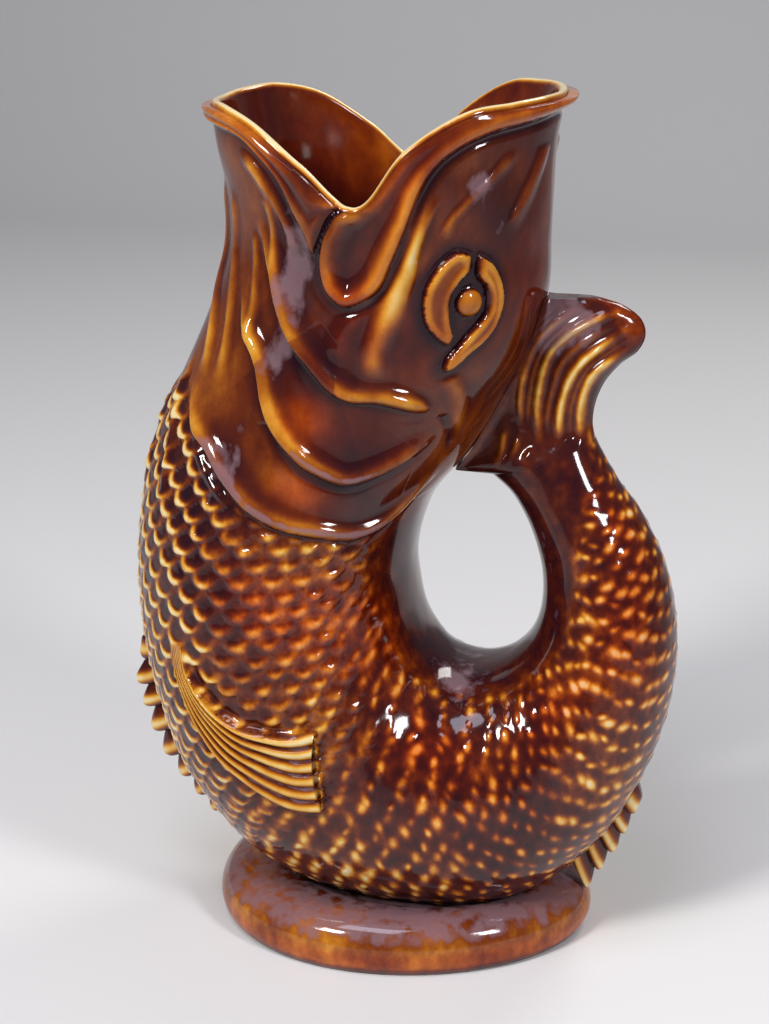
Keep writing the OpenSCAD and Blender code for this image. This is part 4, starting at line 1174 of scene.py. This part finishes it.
class JUG_OT_body(bpy.types.Operator):
    """Builds the body in three bands that meet edge to edge, from the neck under the loop to the tail"""

    bl_idname = "jug.body"
    bl_label = "Body"

    def execute(self, context):
        rows, cols = BODY_GRID
        seam = seam_t(round_angles(cols))
        for name, low, high in BODY_BANDS:
            start, end = mix(seam, TAIL_RING, low), mix(seam, TAIL_RING, high)
            piece = shell(name, start, end, rows, BODY_INNER_ROWS, floor=SEAT_H)
            finished(piece, "Body Glaze", "glaze_treacle", "body")
        return {"FINISHED"}


class JUG_OT_tail(bpy.types.Operator):
    """Builds the tail that rises from the body and carries the fin"""

    bl_idname = "jug.tail"
    bl_label = "Tail"

    def execute(self, context):
        rows, cols = TAIL_GRID
        start, end = np.full(cols, TAIL_RING), np.full(cols, LAST_RING)
        piece = shell("tail_skin", start, end, rows, TAIL_INNER_ROWS)
        return finished(piece, "Body Glaze", "glaze_treacle", "tail")


def fin_point(t, b, hand):
    """Point of the tail fin: station t of its edge, and angle b round its section from the neck to the edge,
    on the left (hand 1) or the right (-1). The section is the tail's own oval at its foot and flattens to a
    blade, whose sides follow one minus a power."""
    u = np.clip(b - FIN_FOOT_ANGLE, 0, None) / (180 - FIN_FOOT_ANGLE)
    half = mix(TAIL_FIN_T / 2, HALF_W[-1], along(FIN_TAPER_SHARES, t))
    r = along(FIN_ROUND_SHARES, t)
    f = mix(np.sin(np.radians(90 * u)), (1 - np.cos(np.radians(b))) / 2, r)
    blade = np.where(b < FIN_FOOT_ANGLE, b / FIN_FOOT_ANGLE,
                     np.sqrt(np.clip(1 - np.sin(np.radians(90 * u)) ** 4, 0, 1)))
    y = half * mix(blade, full_sin(b, FULL_SHARES[-1]), r)
    ring = along(FIN_ROOT_SHARES, t)
    near = skin(ring, np.degrees(np.arcsin(np.clip(y / along(HALF_W, ring), -1, 1))), SLIP)
    e = along(FIN_EDGE_SHARES, t)
    far = np.stack([e[..., 0] * TAIL_REACH - SHIFT_X, rise(e[..., 1])], -1)
    x = mix(near[..., 0], far[..., 0], f)
    z = mix(near[..., 2], far[..., 1], f)
    return np.stack([x, -hand * y, z], -1)


def fin_rays(x, z):
    """Height share of the rays over the fin's side: 1 on each ray line and less than 0 in the grooves
    between. Half way between two long rays lies a weaker one."""
    field = np.zeros(x.shape)
    rays = [(line_of(places, 6), strength) for places, strength in zip(FIN_RAYS, FIN_RAY_STRENGTHS)]
    rays += [(line_of(places, 6), FIN_ROOT_STRENGTH) for places in FIN_ROOT_RAYS]
    evenly = [along(places, np.linspace(0, len(places) - 1, 31)) for places in FIN_RAYS]
    rays += [((p + q) / 2, FIN_BETWEEN_STRENGTH) for p, q in zip(evenly[:-1], evenly[1:])]
    for line, strength in rays:
        line = line - [SHIFT_X, 0]
        best = np.full(x.shape, 1e9)
        place = np.zeros(x.shape)
        for i, (p, q) in enumerate(zip(line[:-1], line[1:])):
            step = q - p
            f = np.clip(((x - p[0]) * step[0] + (z - p[1]) * step[1]) / (step @ step), 0, 1)
            d = np.hypot(x - p[0] - f * step[0], z - p[1] - f * step[1])
            place = np.where(d < best, (i + f) / (len(line) - 1), place)
            best = np.minimum(best, d)
        crest = strength * bell(best, 0.75 + 0.65 * strength)
        field = np.maximum(field, crest * (0.25 + 0.75 * tapered(place, 0.22)))
    return 1.25 * field - 0.25


# Soft steps over the fin, each a start and a width in stations or degrees: where its rays fade in and out,
# where the tip's thin glaze and the veil, a painted reflection on the fin's upper part, set in, and how far
# the tail's own glaze reaches up from the root
RAY_STATIONS = (0, 1.1)
RAY_FOOT_ANGLES = (FIN_FOOT_ANGLE, 12)
RAY_EDGE_ANGLES = (180, -9)
TIP_STATIONS = (4.6, 1.5)
TIP_ANGLES = (96, 40)
VEIL_AND_SHEEN_STATIONS = (4.4, 2.0)
VEIL_AND_SHEEN_ANGLES = (112, -40)
ROOT_STATIONS = (0, 1.6)


class JUG_OT_tail_fin(bpy.types.Operator):
    """Builds the tail fin that leans on the neck, with rays that fan out to its edge"""

    bl_idname = "jug.tail_fin"
    bl_label = "Tail Fin"

    def execute(self, context):
        rows, cols = TAIL_FIN_GRID
        t = np.linspace(0, len(FIN_EDGE_SHARES) - 1, rows)[:, None]
        t, turn = np.broadcast_arrays(t, round_angles(cols))
        b = folded(turn)
        hand = np.where(turn > 180, -1.0, 1.0)
        point = fin_point(t, b, hand)
        # The first rows blend from the tail's end ring to the fin's first station
        first = mix(skin(LAST_RING, turn), fin_point(FIN_FIRST + 0 * t, b, hand),
                    np.clip(t / FIN_FIRST, 0, 1)[..., None])
        point = np.where((t < FIN_FIRST)[..., None], first, point)
        rays = fin_rays(point[..., 0], point[..., 2])
        fade = onset(t, *RAY_STATIONS) * onset(b, *RAY_FOOT_ANGLES) * onset(b, *RAY_EDGE_ANGLES)
        point[..., 1] -= hand * fade * (rays - 0.55) * context.scene.jug_carving.fin_ray_height / MM
        # The glaze runs thin on the rays and over the tip, and takes up the tail's own at the root
        tip = onset(t, *TIP_STATIONS) * onset(b, *TIP_ANGLES)
        # Lavender veil over the fin's upper part: a painted reflection of light from above
        veil_and_sheen = -0.75 * onset(t, *VEIL_AND_SHEEN_STATIONS) * onset(b, *VEIL_AND_SHEEN_ANGLES) * fade
        pool = 0.56 - 0.50 * fade * np.maximum(rays, -0.2) - 0.24 * tip
        joint = onset(t, *ROOT_STATIONS)
        pool = mix(net_value("pool", LAST_RING, b), pool, joint)
        warm = mix(net_value("warm", LAST_RING, b), veil_and_sheen + 0.7 * tip, joint)
        piece = closed_rings("tail_fin_blade", point, np.clip(pool, 0, 1), joined=False, warm=warm)
        return finished(piece, "Tail Fin Glaze", "glaze_amber", "tail_fin")


# Lips: name, first and last angle, grid, and edge line, which for the upper one starts at its greatest angle
LIPS = (("lower_lip", 93.6, 266.4, LOWER_LIP_GRID, LOWER_LIP_EDGE),
        ("upper_lip", -102.2, 102.2, UPPER_LIP_GRID, UPPER_LIP_EDGE[3:]))


class JUG_OT_lips(bpy.types.Operator):
    """Builds the lips: the lower one round the spout, the upper one with a bulb at each corner of the
    mouth"""

    bl_idname = "jug.lips"
    bl_label = "Lips"

    def execute(self, context):
        meet_t, meet_a = np.array(LIPS_MEET)[:, 1:5]
        for name, low, high, (rows, cols), line in LIPS:
            a = np.linspace(low, high, rows)[:, None]
            edge = line_of(line)
            order = np.argsort(edge[:, 1])
            end = np.interp(folded(a), edge[order, 1], edge[order, 0])
            start = rim_t(a) + RIM_WALL * 0.5 / RING_PITCH
            if name == "upper_lip":
                start = np.maximum(start, np.interp(folded(a), meet_a, meet_t, left=0.0))
            t = mix(start, np.maximum(end, start + 0.05), np.linspace(0, 1, cols))
            piece = member(name + "_roll", t, np.broadcast_to(a, t.shape))
            finished(piece, "Amber Glaze", "glaze_amber", name)
        return {"FINISHED"}


class JUG_OT_gill_covers(bpy.types.Operator):
    """Builds the gill covers: three leaves on each cheek that overlap towards the body"""

    bl_idname = "jug.gill_covers"
    bl_label = "Gill Covers"

    def execute(self, context):
        edge = [[ring + 0.03, angle] for ring, angle in GILL_3]
        t, a = between(CHEEK_LINE, edge, *GILL_GRID)
        pair("gill_leaves_", "gill_cover_", t, a, "Head Glaze", "glaze_treacle")
        return {"FINISHED"}


def pupil(mirrored):
    """Rings of the domed pupil, from its top over its edge to the underside, and its glaze's depth."""
    place = eye_place([PUPIL_SHARES])[0]
    rows, cols = PUPIL_GRID
    r = np.linspace(0, 1, rows)[:, None] * PUPIL_D / 2
    w = np.radians(round_angles(cols))
    t, a = place[0] + r * np.sin(w) / RING_PITCH, place[1] + r * np.cos(w) / DEGREE
    top = net_value("height", t, a) - 0.3 * (1 - net_value("cover", t, a))
    under = np.full(top.shape, UNDERSIDE)
    rings = np.concatenate([skin(t, a, np.maximum(top, UNDERSIDE / 2))[1:], skin(t, a, under)[:0:-1]])
    pool = net_value("pool", t, a)
    pool = np.concatenate([pool[1:], pool[:0:-1]])
    return (rings[:, ::-1] * MIRROR, pool[:, ::-1]) if mirrored else (rings, pool)


class JUG_OT_eyes(bpy.types.Operator):
    """Builds the eyes: a ring of two arms round a domed pupil on each side"""

    bl_idname = "jug.eyes"
    bl_label = "Eyes"

    def execute(self, context):
        for side in ("left", "right"):
            # An arm's outline runs up its outer edge, for so many places, and back down its inner one
            for label, shares, outer in (("front", EYE_FRONT_SHARES, 10), ("back", EYE_BACK_SHARES, 11)):
                t, a = between(eye_place(shares[:outer]), eye_place(shares[outer:][::-1]), *EYE_GRID)
                piece = member(f"eye_ring_{side}_{label}", t, a, side == "right")
                finished(piece, "Amber Glaze", "glaze_amber", "eye_ring_" + side)
            rings, pool = pupil(side == "right")
            piece = closed_rings("pupil_dome_" + side, rings, pool, joined=False)
            finished(piece, "Amber Glaze", "glaze_amber", "pupil_" + side)
        return {"FINISHED"}


class JUG_OT_pectoral_fins(bpy.types.Operator):
    """Builds the pectoral fins: rays that fan out over the flanks"""

    bl_idname = "jug.pectoral_fins"
    bl_label = "Pectoral Fins"

    def execute(self, context):
        t, a = between(PECTORAL_UPPER, PECTORAL_LOWER, *PECTORAL_GRID)
        pair("pectoral_rays_", "pectoral_fin_", t, a, "Amber Glaze", "glaze_amber")
        return {"FINISHED"}


# Ridge fins: tips as [ring number, height in millimetres], ring numbers of the ends, and the thickness
BELLY_TIPS = [[9.80, 7.5], [10.07, 12.0], [10.30, 12.2], [10.51, 12.4], [10.77, 12.2], [11.01, 11.4],
              [11.22, 10.4], [11.41, 9.7], [11.57, 8.6], [11.80, 8.0]]
BELLY_ENDS = (9.62, 11.95)
VENT_TIPS = [[15.50, 4.5], [15.30, 6.0], [15.10, 8.0], [14.90, 9.5], [14.72, 12.4]]
VENT_ENDS = (15.66, 14.60)
RIDGE_T = 6.4


def ridge_fin(name, tips, ends, floor):
    """Closed ridge fin on the belly line. Along it each lobe swells between two notches and leans to its
    tip; its section is a pointed arch, pinched in the grooves between the lobes. Nothing of it lies below
    the floor."""
    tips = np.asarray(tips)
    middle = (tips[:-1, 0] + tips[1:, 0]) / 2 + 0.3 * np.diff(tips[:, 0]) / 2
    notch = np.concatenate([[ends[0]], middle, [ends[1]]])
    s = np.linspace(0, len(tips), RIDGE_GRID[0] * len(tips))
    k = np.minimum(s.astype(int), len(tips) - 1)
    f = s - k
    t = mix(notch[k], notch[k + 1], f)
    lobe = np.sin(np.pi * f ** 1.9) ** 0.5
    tall = mix(np.interp(s, np.arange(len(tips)) + 0.5, tips[:, 1]), tips[k, 1], 0.4)
    height = tall * (0.70 + 0.30 * lobe) * smooth(0.15 + s / 0.35) * smooth(0.15 + (len(tips) - s) / 0.35)
    w = np.linspace(-1, 1, RIDGE_GRID[1])[None, :]
    swell = (0.52 + 0.48 * lobe)[:, None]
    up = height[:, None] * (1 - np.abs(w) ** 2.2)
    half = RIDGE_T / 2 * swell * np.sign(w) * (1 - (1 - np.abs(w)) ** 1.35)
    spread = np.degrees(half / along(HALF_W, t)[:, None])
    out = skin(t[:, None], 180 + spread, np.maximum(up, -0.2))
    base = skin(t[:, None], 180 + spread[:, ::-1] * 0.9, -0.4 + 0 * up)[:, 1:-1]
    rings = np.concatenate([out, base], axis=1)
    rings[..., 2] = np.maximum(rings[..., 2], floor)
    rib = bell(f - 0.62, 0.24)[:, None]
    pool = 0.76 - 0.72 * rib * (0.80 + 0.20 * bell(w, 0.5))
    pools = np.concatenate([pool, np.full(base.shape[:2], 0.8)], axis=1)
    if ends[0] > ends[1]:
        rings, pools = rings[::-1], pools[::-1]
    return closed_rings(name, rings, np.clip(pools, 0, 1), joined=False)


class JUG_OT_ridge_fins(bpy.types.Operator):
    """Builds the belly fin and the vent fin: ridges of lobes on the belly line"""

    bl_idname = "jug.ridge_fins"
    bl_label = "Belly and Vent Fins"

    def execute(self, context):
        belly = ridge_fin("belly_fin_lobes", BELLY_TIPS, BELLY_ENDS, FOOT_H + SLIP)
        finished(belly, "Dark Fin Glaze", "glaze_aubergine", "belly_fin")
        vent = ridge_fin("vent_fin_lobes", VENT_TIPS, VENT_ENDS, 0.0)
        return finished(vent, "Fin Glaze", "glaze_amber", "vent_fin")


# Foot, in millimetres: length, width, and how far its middle lies behind the mouth's; and how much wider it
# is in front, as a share
FOOT_L = 116.6
FOOT_W = 92.0
FOOT_X = 4.5
FOOT_EGG = 0.1
# Its section from the middle of the hollow, over the ring that it stands on, up to its top, as shares of
# half its length and of its height
FOOT_SHARES = [
    [0.000, 0.156], [0.400, 0.156], [0.770, 0.156], [0.790, 0.120], [0.800, 0.020], [0.812, 0.000],
    [0.870, 0.000], [0.930, 0.000], [0.955, 0.008], [0.972, 0.055], [0.988, 0.150], [0.998, 0.280],
    [1.000, 0.400], [0.994, 0.530], [0.980, 0.660], [0.957, 0.780], [0.925, 0.875], [0.885, 0.945],
    [0.840, 0.985], [0.800, 1.000]]
# The top dips to the flat seat: share of the way to the seat, and share of the drop
DIP_SHARES = [[0.00, 0.00], [0.25, 0.04], [0.60, 0.20], [0.85, 0.68], [1.00, 1.00]]
# Soft steps on the foot, each a start and a width: heights in millimetres and shares of half its length at
# which its waves set in, and shares of its height at which its red and its veil, a painted reflection of
# light from above on its top, set in
WAVE_HEIGHTS = (1.0, 4.0)
WAVE_SHARES = (0.8, 0.1)
RED_SHARES = (0.62, -0.3)
VEIL_AND_SHEEN_SHARES = (0.40, 0.42)
# Bare clay: inside this share of half the length, and up to this height in millimetres
BARE_SHARE = 0.93
BARE_H = 4.0
# Seat: its ends as shares of the belly's and the tail's reach, and its width as a share of the belly's
SEAT_FRONT_SHARE = 0.367
SEAT_BACK_SHARE = 0.55
SEAT_W_SHARE = 0.56


def foot_rings():
    """Rings of the foot, from its hollow round its side to the middle of its seat, and the glaze's depth on
    them. Each is an egg: a circle stretched to the foot's length and width, and wider in front, with a few
    slow waves on the side."""
    share, z = np.moveaxis(line_of(FOOT_SHARES, 6), -1, 0)
    share, z = np.clip(share, 0.002, None)[:, None], np.clip(z, 0, None)[:, None] * FOOT_H
    a = np.radians(round_angles(FOOT_COLS))[None, :]
    wave = 0.22 * np.sin(3 * a + 0.6) + 0.16 * np.sin(5 * a + 2.0)
    side = onset(z, *WAVE_HEIGHTS) * onset(share, *WAVE_SHARES)
    x = FOOT_X - SHIFT_X + FOOT_L / 2 * share * np.cos(a) + wave * side * np.cos(a)
    y = FOOT_W / 2 * share * np.sin(a) * (1 - FOOT_EGG * np.cos(a)) + wave * side * np.sin(a)
    pad = np.stack([x, y, z + 0 * a], -1)
    front, back = -SEAT_FRONT_SHARE * BELLY_REACH - SHIFT_X, SEAT_BACK_SHARE * TAIL_REACH - SHIFT_X
    seat_x = mix(front, back, (1 + np.cos(a)) / 2)
    seat_y = SEAT_W_SHARE * BELLY_W / 2 * np.sin(a)
    way, drop = np.moveaxis(line_of(DIP_SHARES, 5)[1:], -1, 0)[..., None]
    dip_z = mix(FOOT_H, SEAT_H, drop) + 0 * a
    dip = np.stack([mix(x[-1:], seat_x, way), mix(y[-1:], seat_y, way), dip_z], -1)
    middle = np.array([(front + back) / 2, 0.0, SEAT_H])
    seat = middle + (dip[-1:] - middle) * np.array([0.6, 0.2, 0.01])[:, None, None]
    pool = 0.35 + 0.12 * smooth((z / FOOT_H - 0.45) / 0.45) + 0.22 * smooth((3.4 - z) / 2.4) * (share > 0.9)
    pool = np.where((share < BARE_SHARE) & (z < BARE_H), -0.1, pool) + 0 * a
    pool = np.concatenate([pool, 0.50 + 0.26 * smooth(way / 0.7) + 0 * a, np.full(seat.shape[:2], 0.8)])
    return np.concatenate([pad, dip, seat]), pool


class JUG_OT_foot(bpy.types.Operator):
    """Builds the foot: an oval pad with a rounded side, a hollow below and a seat for the body"""

    bl_idname = "jug.foot"
    bl_label = "Foot"

    def execute(self, context):
        rings, pool = foot_rings()
        height = rings[..., 2] / FOOT_H
        # Redder low down, and on the top a lavender veil that is a painted reflection of light from above
        warm = 0.75 * onset(height, *RED_SHARES) - 0.62 * onset(height, *VEIL_AND_SHEEN_SHARES)
        piece = closed_rings("foot_pad", rings, pool, joined=False, warm=warm)
        return finished(piece, "Foot Glaze", "glaze_amber", "foot")


# Floor, in metres: how far it comes to the front and to each side, where its bend starts, the bend's radius,
# and the backdrop's height
FLOOR_FRONT = -2.2
FLOOR_SIDE = 3.0
FLOOR_BACK = 1.1
FLOOR_BEND = 0.5
BACKDROP_H = 2.4
# The floor lies so far below the foot that the two faces don't coincide
FLOOR_GAP = 0.0001
# The paper turns to its front colour between two places along each of these axes
FLOOR_FADES = (("Y", -0.13, -0.30), ("X", 0.17, 0.40))
PAPER_ROUGHNESS = 0.75
SKY = (0.86, 0.88, 1.0, 1.0)
SKY_POWER = 0.15
# Camera as it stood for the photograph: place in millimetres, how far it looks down and turns, and the width
# of its film in millimetres
CAMERA_PLACE = (114.8, -535.8, 316.0)
CAMERA_PITCH = 18.8
CAMERA_YAW = 12.3
FILM_W = 36.0
# Lamps: name, place in metres, size in metres, share of the key lamp's power, colour
LAMPS = [
    ("key", (-0.55, -0.85, 0.95), (0.26, 0.26), 1.35, (1.0, 0.98, 0.95)),
    ("window", (-0.15, -0.45, 1.25), (0.55, 0.40), 0.55, (0.80, 0.84, 1.0)),
    ("right", (0.85, -0.60, 0.70), (0.18, 0.30), 0.75, (0.97, 0.97, 1.0)),
    ("back", (0.45, 0.75, 0.95), (0.40, 0.30), 0.45, (1.0, 0.98, 0.95)),
]
LAMPS_AIM = (0.0, 0.0, 0.13)


def placed(name, data):
    """Object in the scene that holds a mesh, a lamp or a camera."""
    thing = bpy.data.objects.new(name, data)
    bpy.context.scene.collection.objects.link(thing)
    return thing


def paper(look):
    """Floor paper. It darkens towards the viewer and the right, out of the picture, so that the glaze has
    something dark to mirror."""
    material = bpy.data.materials.new("Floor Paper")
    material.use_nodes = True
    tree = material.node_tree
    shader = tree.nodes["Principled BSDF"]
    shader.inputs["Roughness"].default_value = PAPER_ROUGHNESS
    place, split = tree.nodes.new("ShaderNodeTexCoord"), tree.nodes.new("ShaderNodeSeparateXYZ")
    tree.links.new(place.outputs["Object"], split.inputs["Vector"])
    colour = (*look.floor, 1.0)
    for axis, start, end in FLOOR_FADES:
        fade = tree.nodes.new("ShaderNodeMapRange")
        fade.interpolation_type = "SMOOTHSTEP"
        fade.inputs["From Min"].default_value = start
        fade.inputs["From Max"].default_value = end
        tree.links.new(split.outputs[axis], fade.inputs["Value"])
        colour = mixed(tree, fade.outputs["Result"], colour, (*look.floor_front, 1.0))
    tree.links.new(colour, shader.inputs["Base Color"])
    return material


def floor_sheet(look):
    """Floor that curves up into a backdrop: a quarter circle between two planes."""
    turn = np.radians(np.linspace(0, 90, 25))
    y = np.concatenate([[FLOOR_FRONT], FLOOR_BACK + FLOOR_BEND * np.sin(turn), [FLOOR_BACK + FLOOR_BEND]])
    z = np.concatenate([[0.0], FLOOR_BEND * (1 - np.cos(turn)), [BACKDROP_H]]) - FLOOR_GAP
    sides = np.array([-FLOOR_SIDE, FLOOR_SIDE])
    points = np.stack(np.broadcast_arrays(sides, y[:, None], z[:, None]), -1).reshape(-1, 3)
    first = np.arange(0, len(points) - 2, 2)
    faces = np.stack([first, first + 1, first + 3, first + 2], -1)
    mesh = bpy.data.meshes.new("floor")
    mesh.from_pydata(points.tolist(), [], faces.tolist())
    mesh.shade_smooth()
    mesh.materials.append(paper(look))
    placed("floor", mesh)


def lamps(look):
    """Soft lamps that all face the jug, and a faint sky."""
    world = bpy.data.worlds.new("Studio")
    world.use_nodes = True
    sky = world.node_tree.nodes["Background"]
    sky.inputs["Color"].default_value = SKY
    sky.inputs["Strength"].default_value = SKY_POWER
    bpy.context.scene.world = world
    for name, place, size, power, colour in LAMPS:
        lamp = bpy.data.lights.new(name, "AREA")
        lamp.shape = "RECTANGLE"
        lamp.size, lamp.size_y = size
        lamp.energy = power * look.key_power
        lamp.color = colour
        light = placed(name, lamp)
        light.location = place
        aim = mathutils.Vector(LAMPS_AIM) - mathutils.Vector(place)
        light.rotation_euler = aim.to_track_quat("-Z", "Y").to_euler()


class JUG_OT_stage(bpy.types.Operator):
    """Builds the plain floor, the soft lamps and the camera that looks down at the jug"""

    bl_idname = "jug.stage"
    bl_label = "Stage"

    def execute(self, context):
        look, scene = context.scene.jug_studio, context.scene
        scene.view_settings.view_transform = "Standard"
        floor_sheet(look)
        lamps(look)
        camera = bpy.data.cameras.new("camera")
        camera.lens = look.lens
        camera.sensor_width = FILM_W
        scene.camera = placed("camera", camera)
        scene.camera.location = (np.array(CAMERA_PLACE) - [SHIFT_X, 0, 0]) * MM
        scene.camera.rotation_euler = (math.radians(90 - CAMERA_PITCH), 0.0, math.radians(CAMERA_YAW))
        return {"FINISHED"}


class JUG_PT_panel(bpy.types.Panel):
    """Lists the jug's settings and the steps that build it."""

    bl_idname = "JUG_PT_panel"
    bl_label = "Fish Jug"
    bl_space_type = "VIEW_3D"
    bl_region_type = "UI"
    bl_category = "Fish Jug"

    def draw(self, context):
        column = self.layout.column()
        for group in (context.scene.jug_glaze, context.scene.jug_carving, context.scene.jug_studio):
            for name in group.__annotations__:
                column.prop(group, name)
        for step in STEPS:
            column.operator(step.bl_idname)


STEPS = [JUG_OT_stage, JUG_OT_head, JUG_OT_body, JUG_OT_tail, JUG_OT_tail_fin, JUG_OT_lips,
         JUG_OT_gill_covers, JUG_OT_eyes, JUG_OT_pectoral_fins, JUG_OT_ridge_fins, JUG_OT_foot]
GROUPS = {"jug_glaze": GlazeLook, "jug_carving": CarvingSizes, "jug_studio": StudioLook}


def register():
    """Registers the settings, the steps and the panel."""
    for name, group in GROUPS.items():
        bpy.utils.register_class(group)
        setattr(bpy.types.Scene, name, bpy.props.PointerProperty(type=group))
    for step in STEPS + [JUG_PT_panel]:
        bpy.utils.register_class(step)


def unregister():
    """Takes them away again."""
    for step in STEPS + [JUG_PT_panel]:
        bpy.utils.unregister_class(step)
    for name, group in GROUPS.items():
        delattr(bpy.types.Scene, name)
        bpy.utils.unregister_class(group)


def main():
    """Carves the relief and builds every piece."""
    register()
    carve(bpy.context.scene.jug_carving.scale_height / MM)
    bpy.ops.jug.stage()
    bpy.ops.jug.head()
    bpy.ops.jug.body()
    bpy.ops.jug.tail()
    bpy.ops.jug.tail_fin()
    bpy.ops.jug.lips()
    bpy.ops.jug.gill_covers()
    bpy.ops.jug.eyes()
    bpy.ops.jug.pectoral_fins()
    bpy.ops.jug.ridge_fins()
    bpy.ops.jug.foot()


if __name__ == "__main__":
    main()
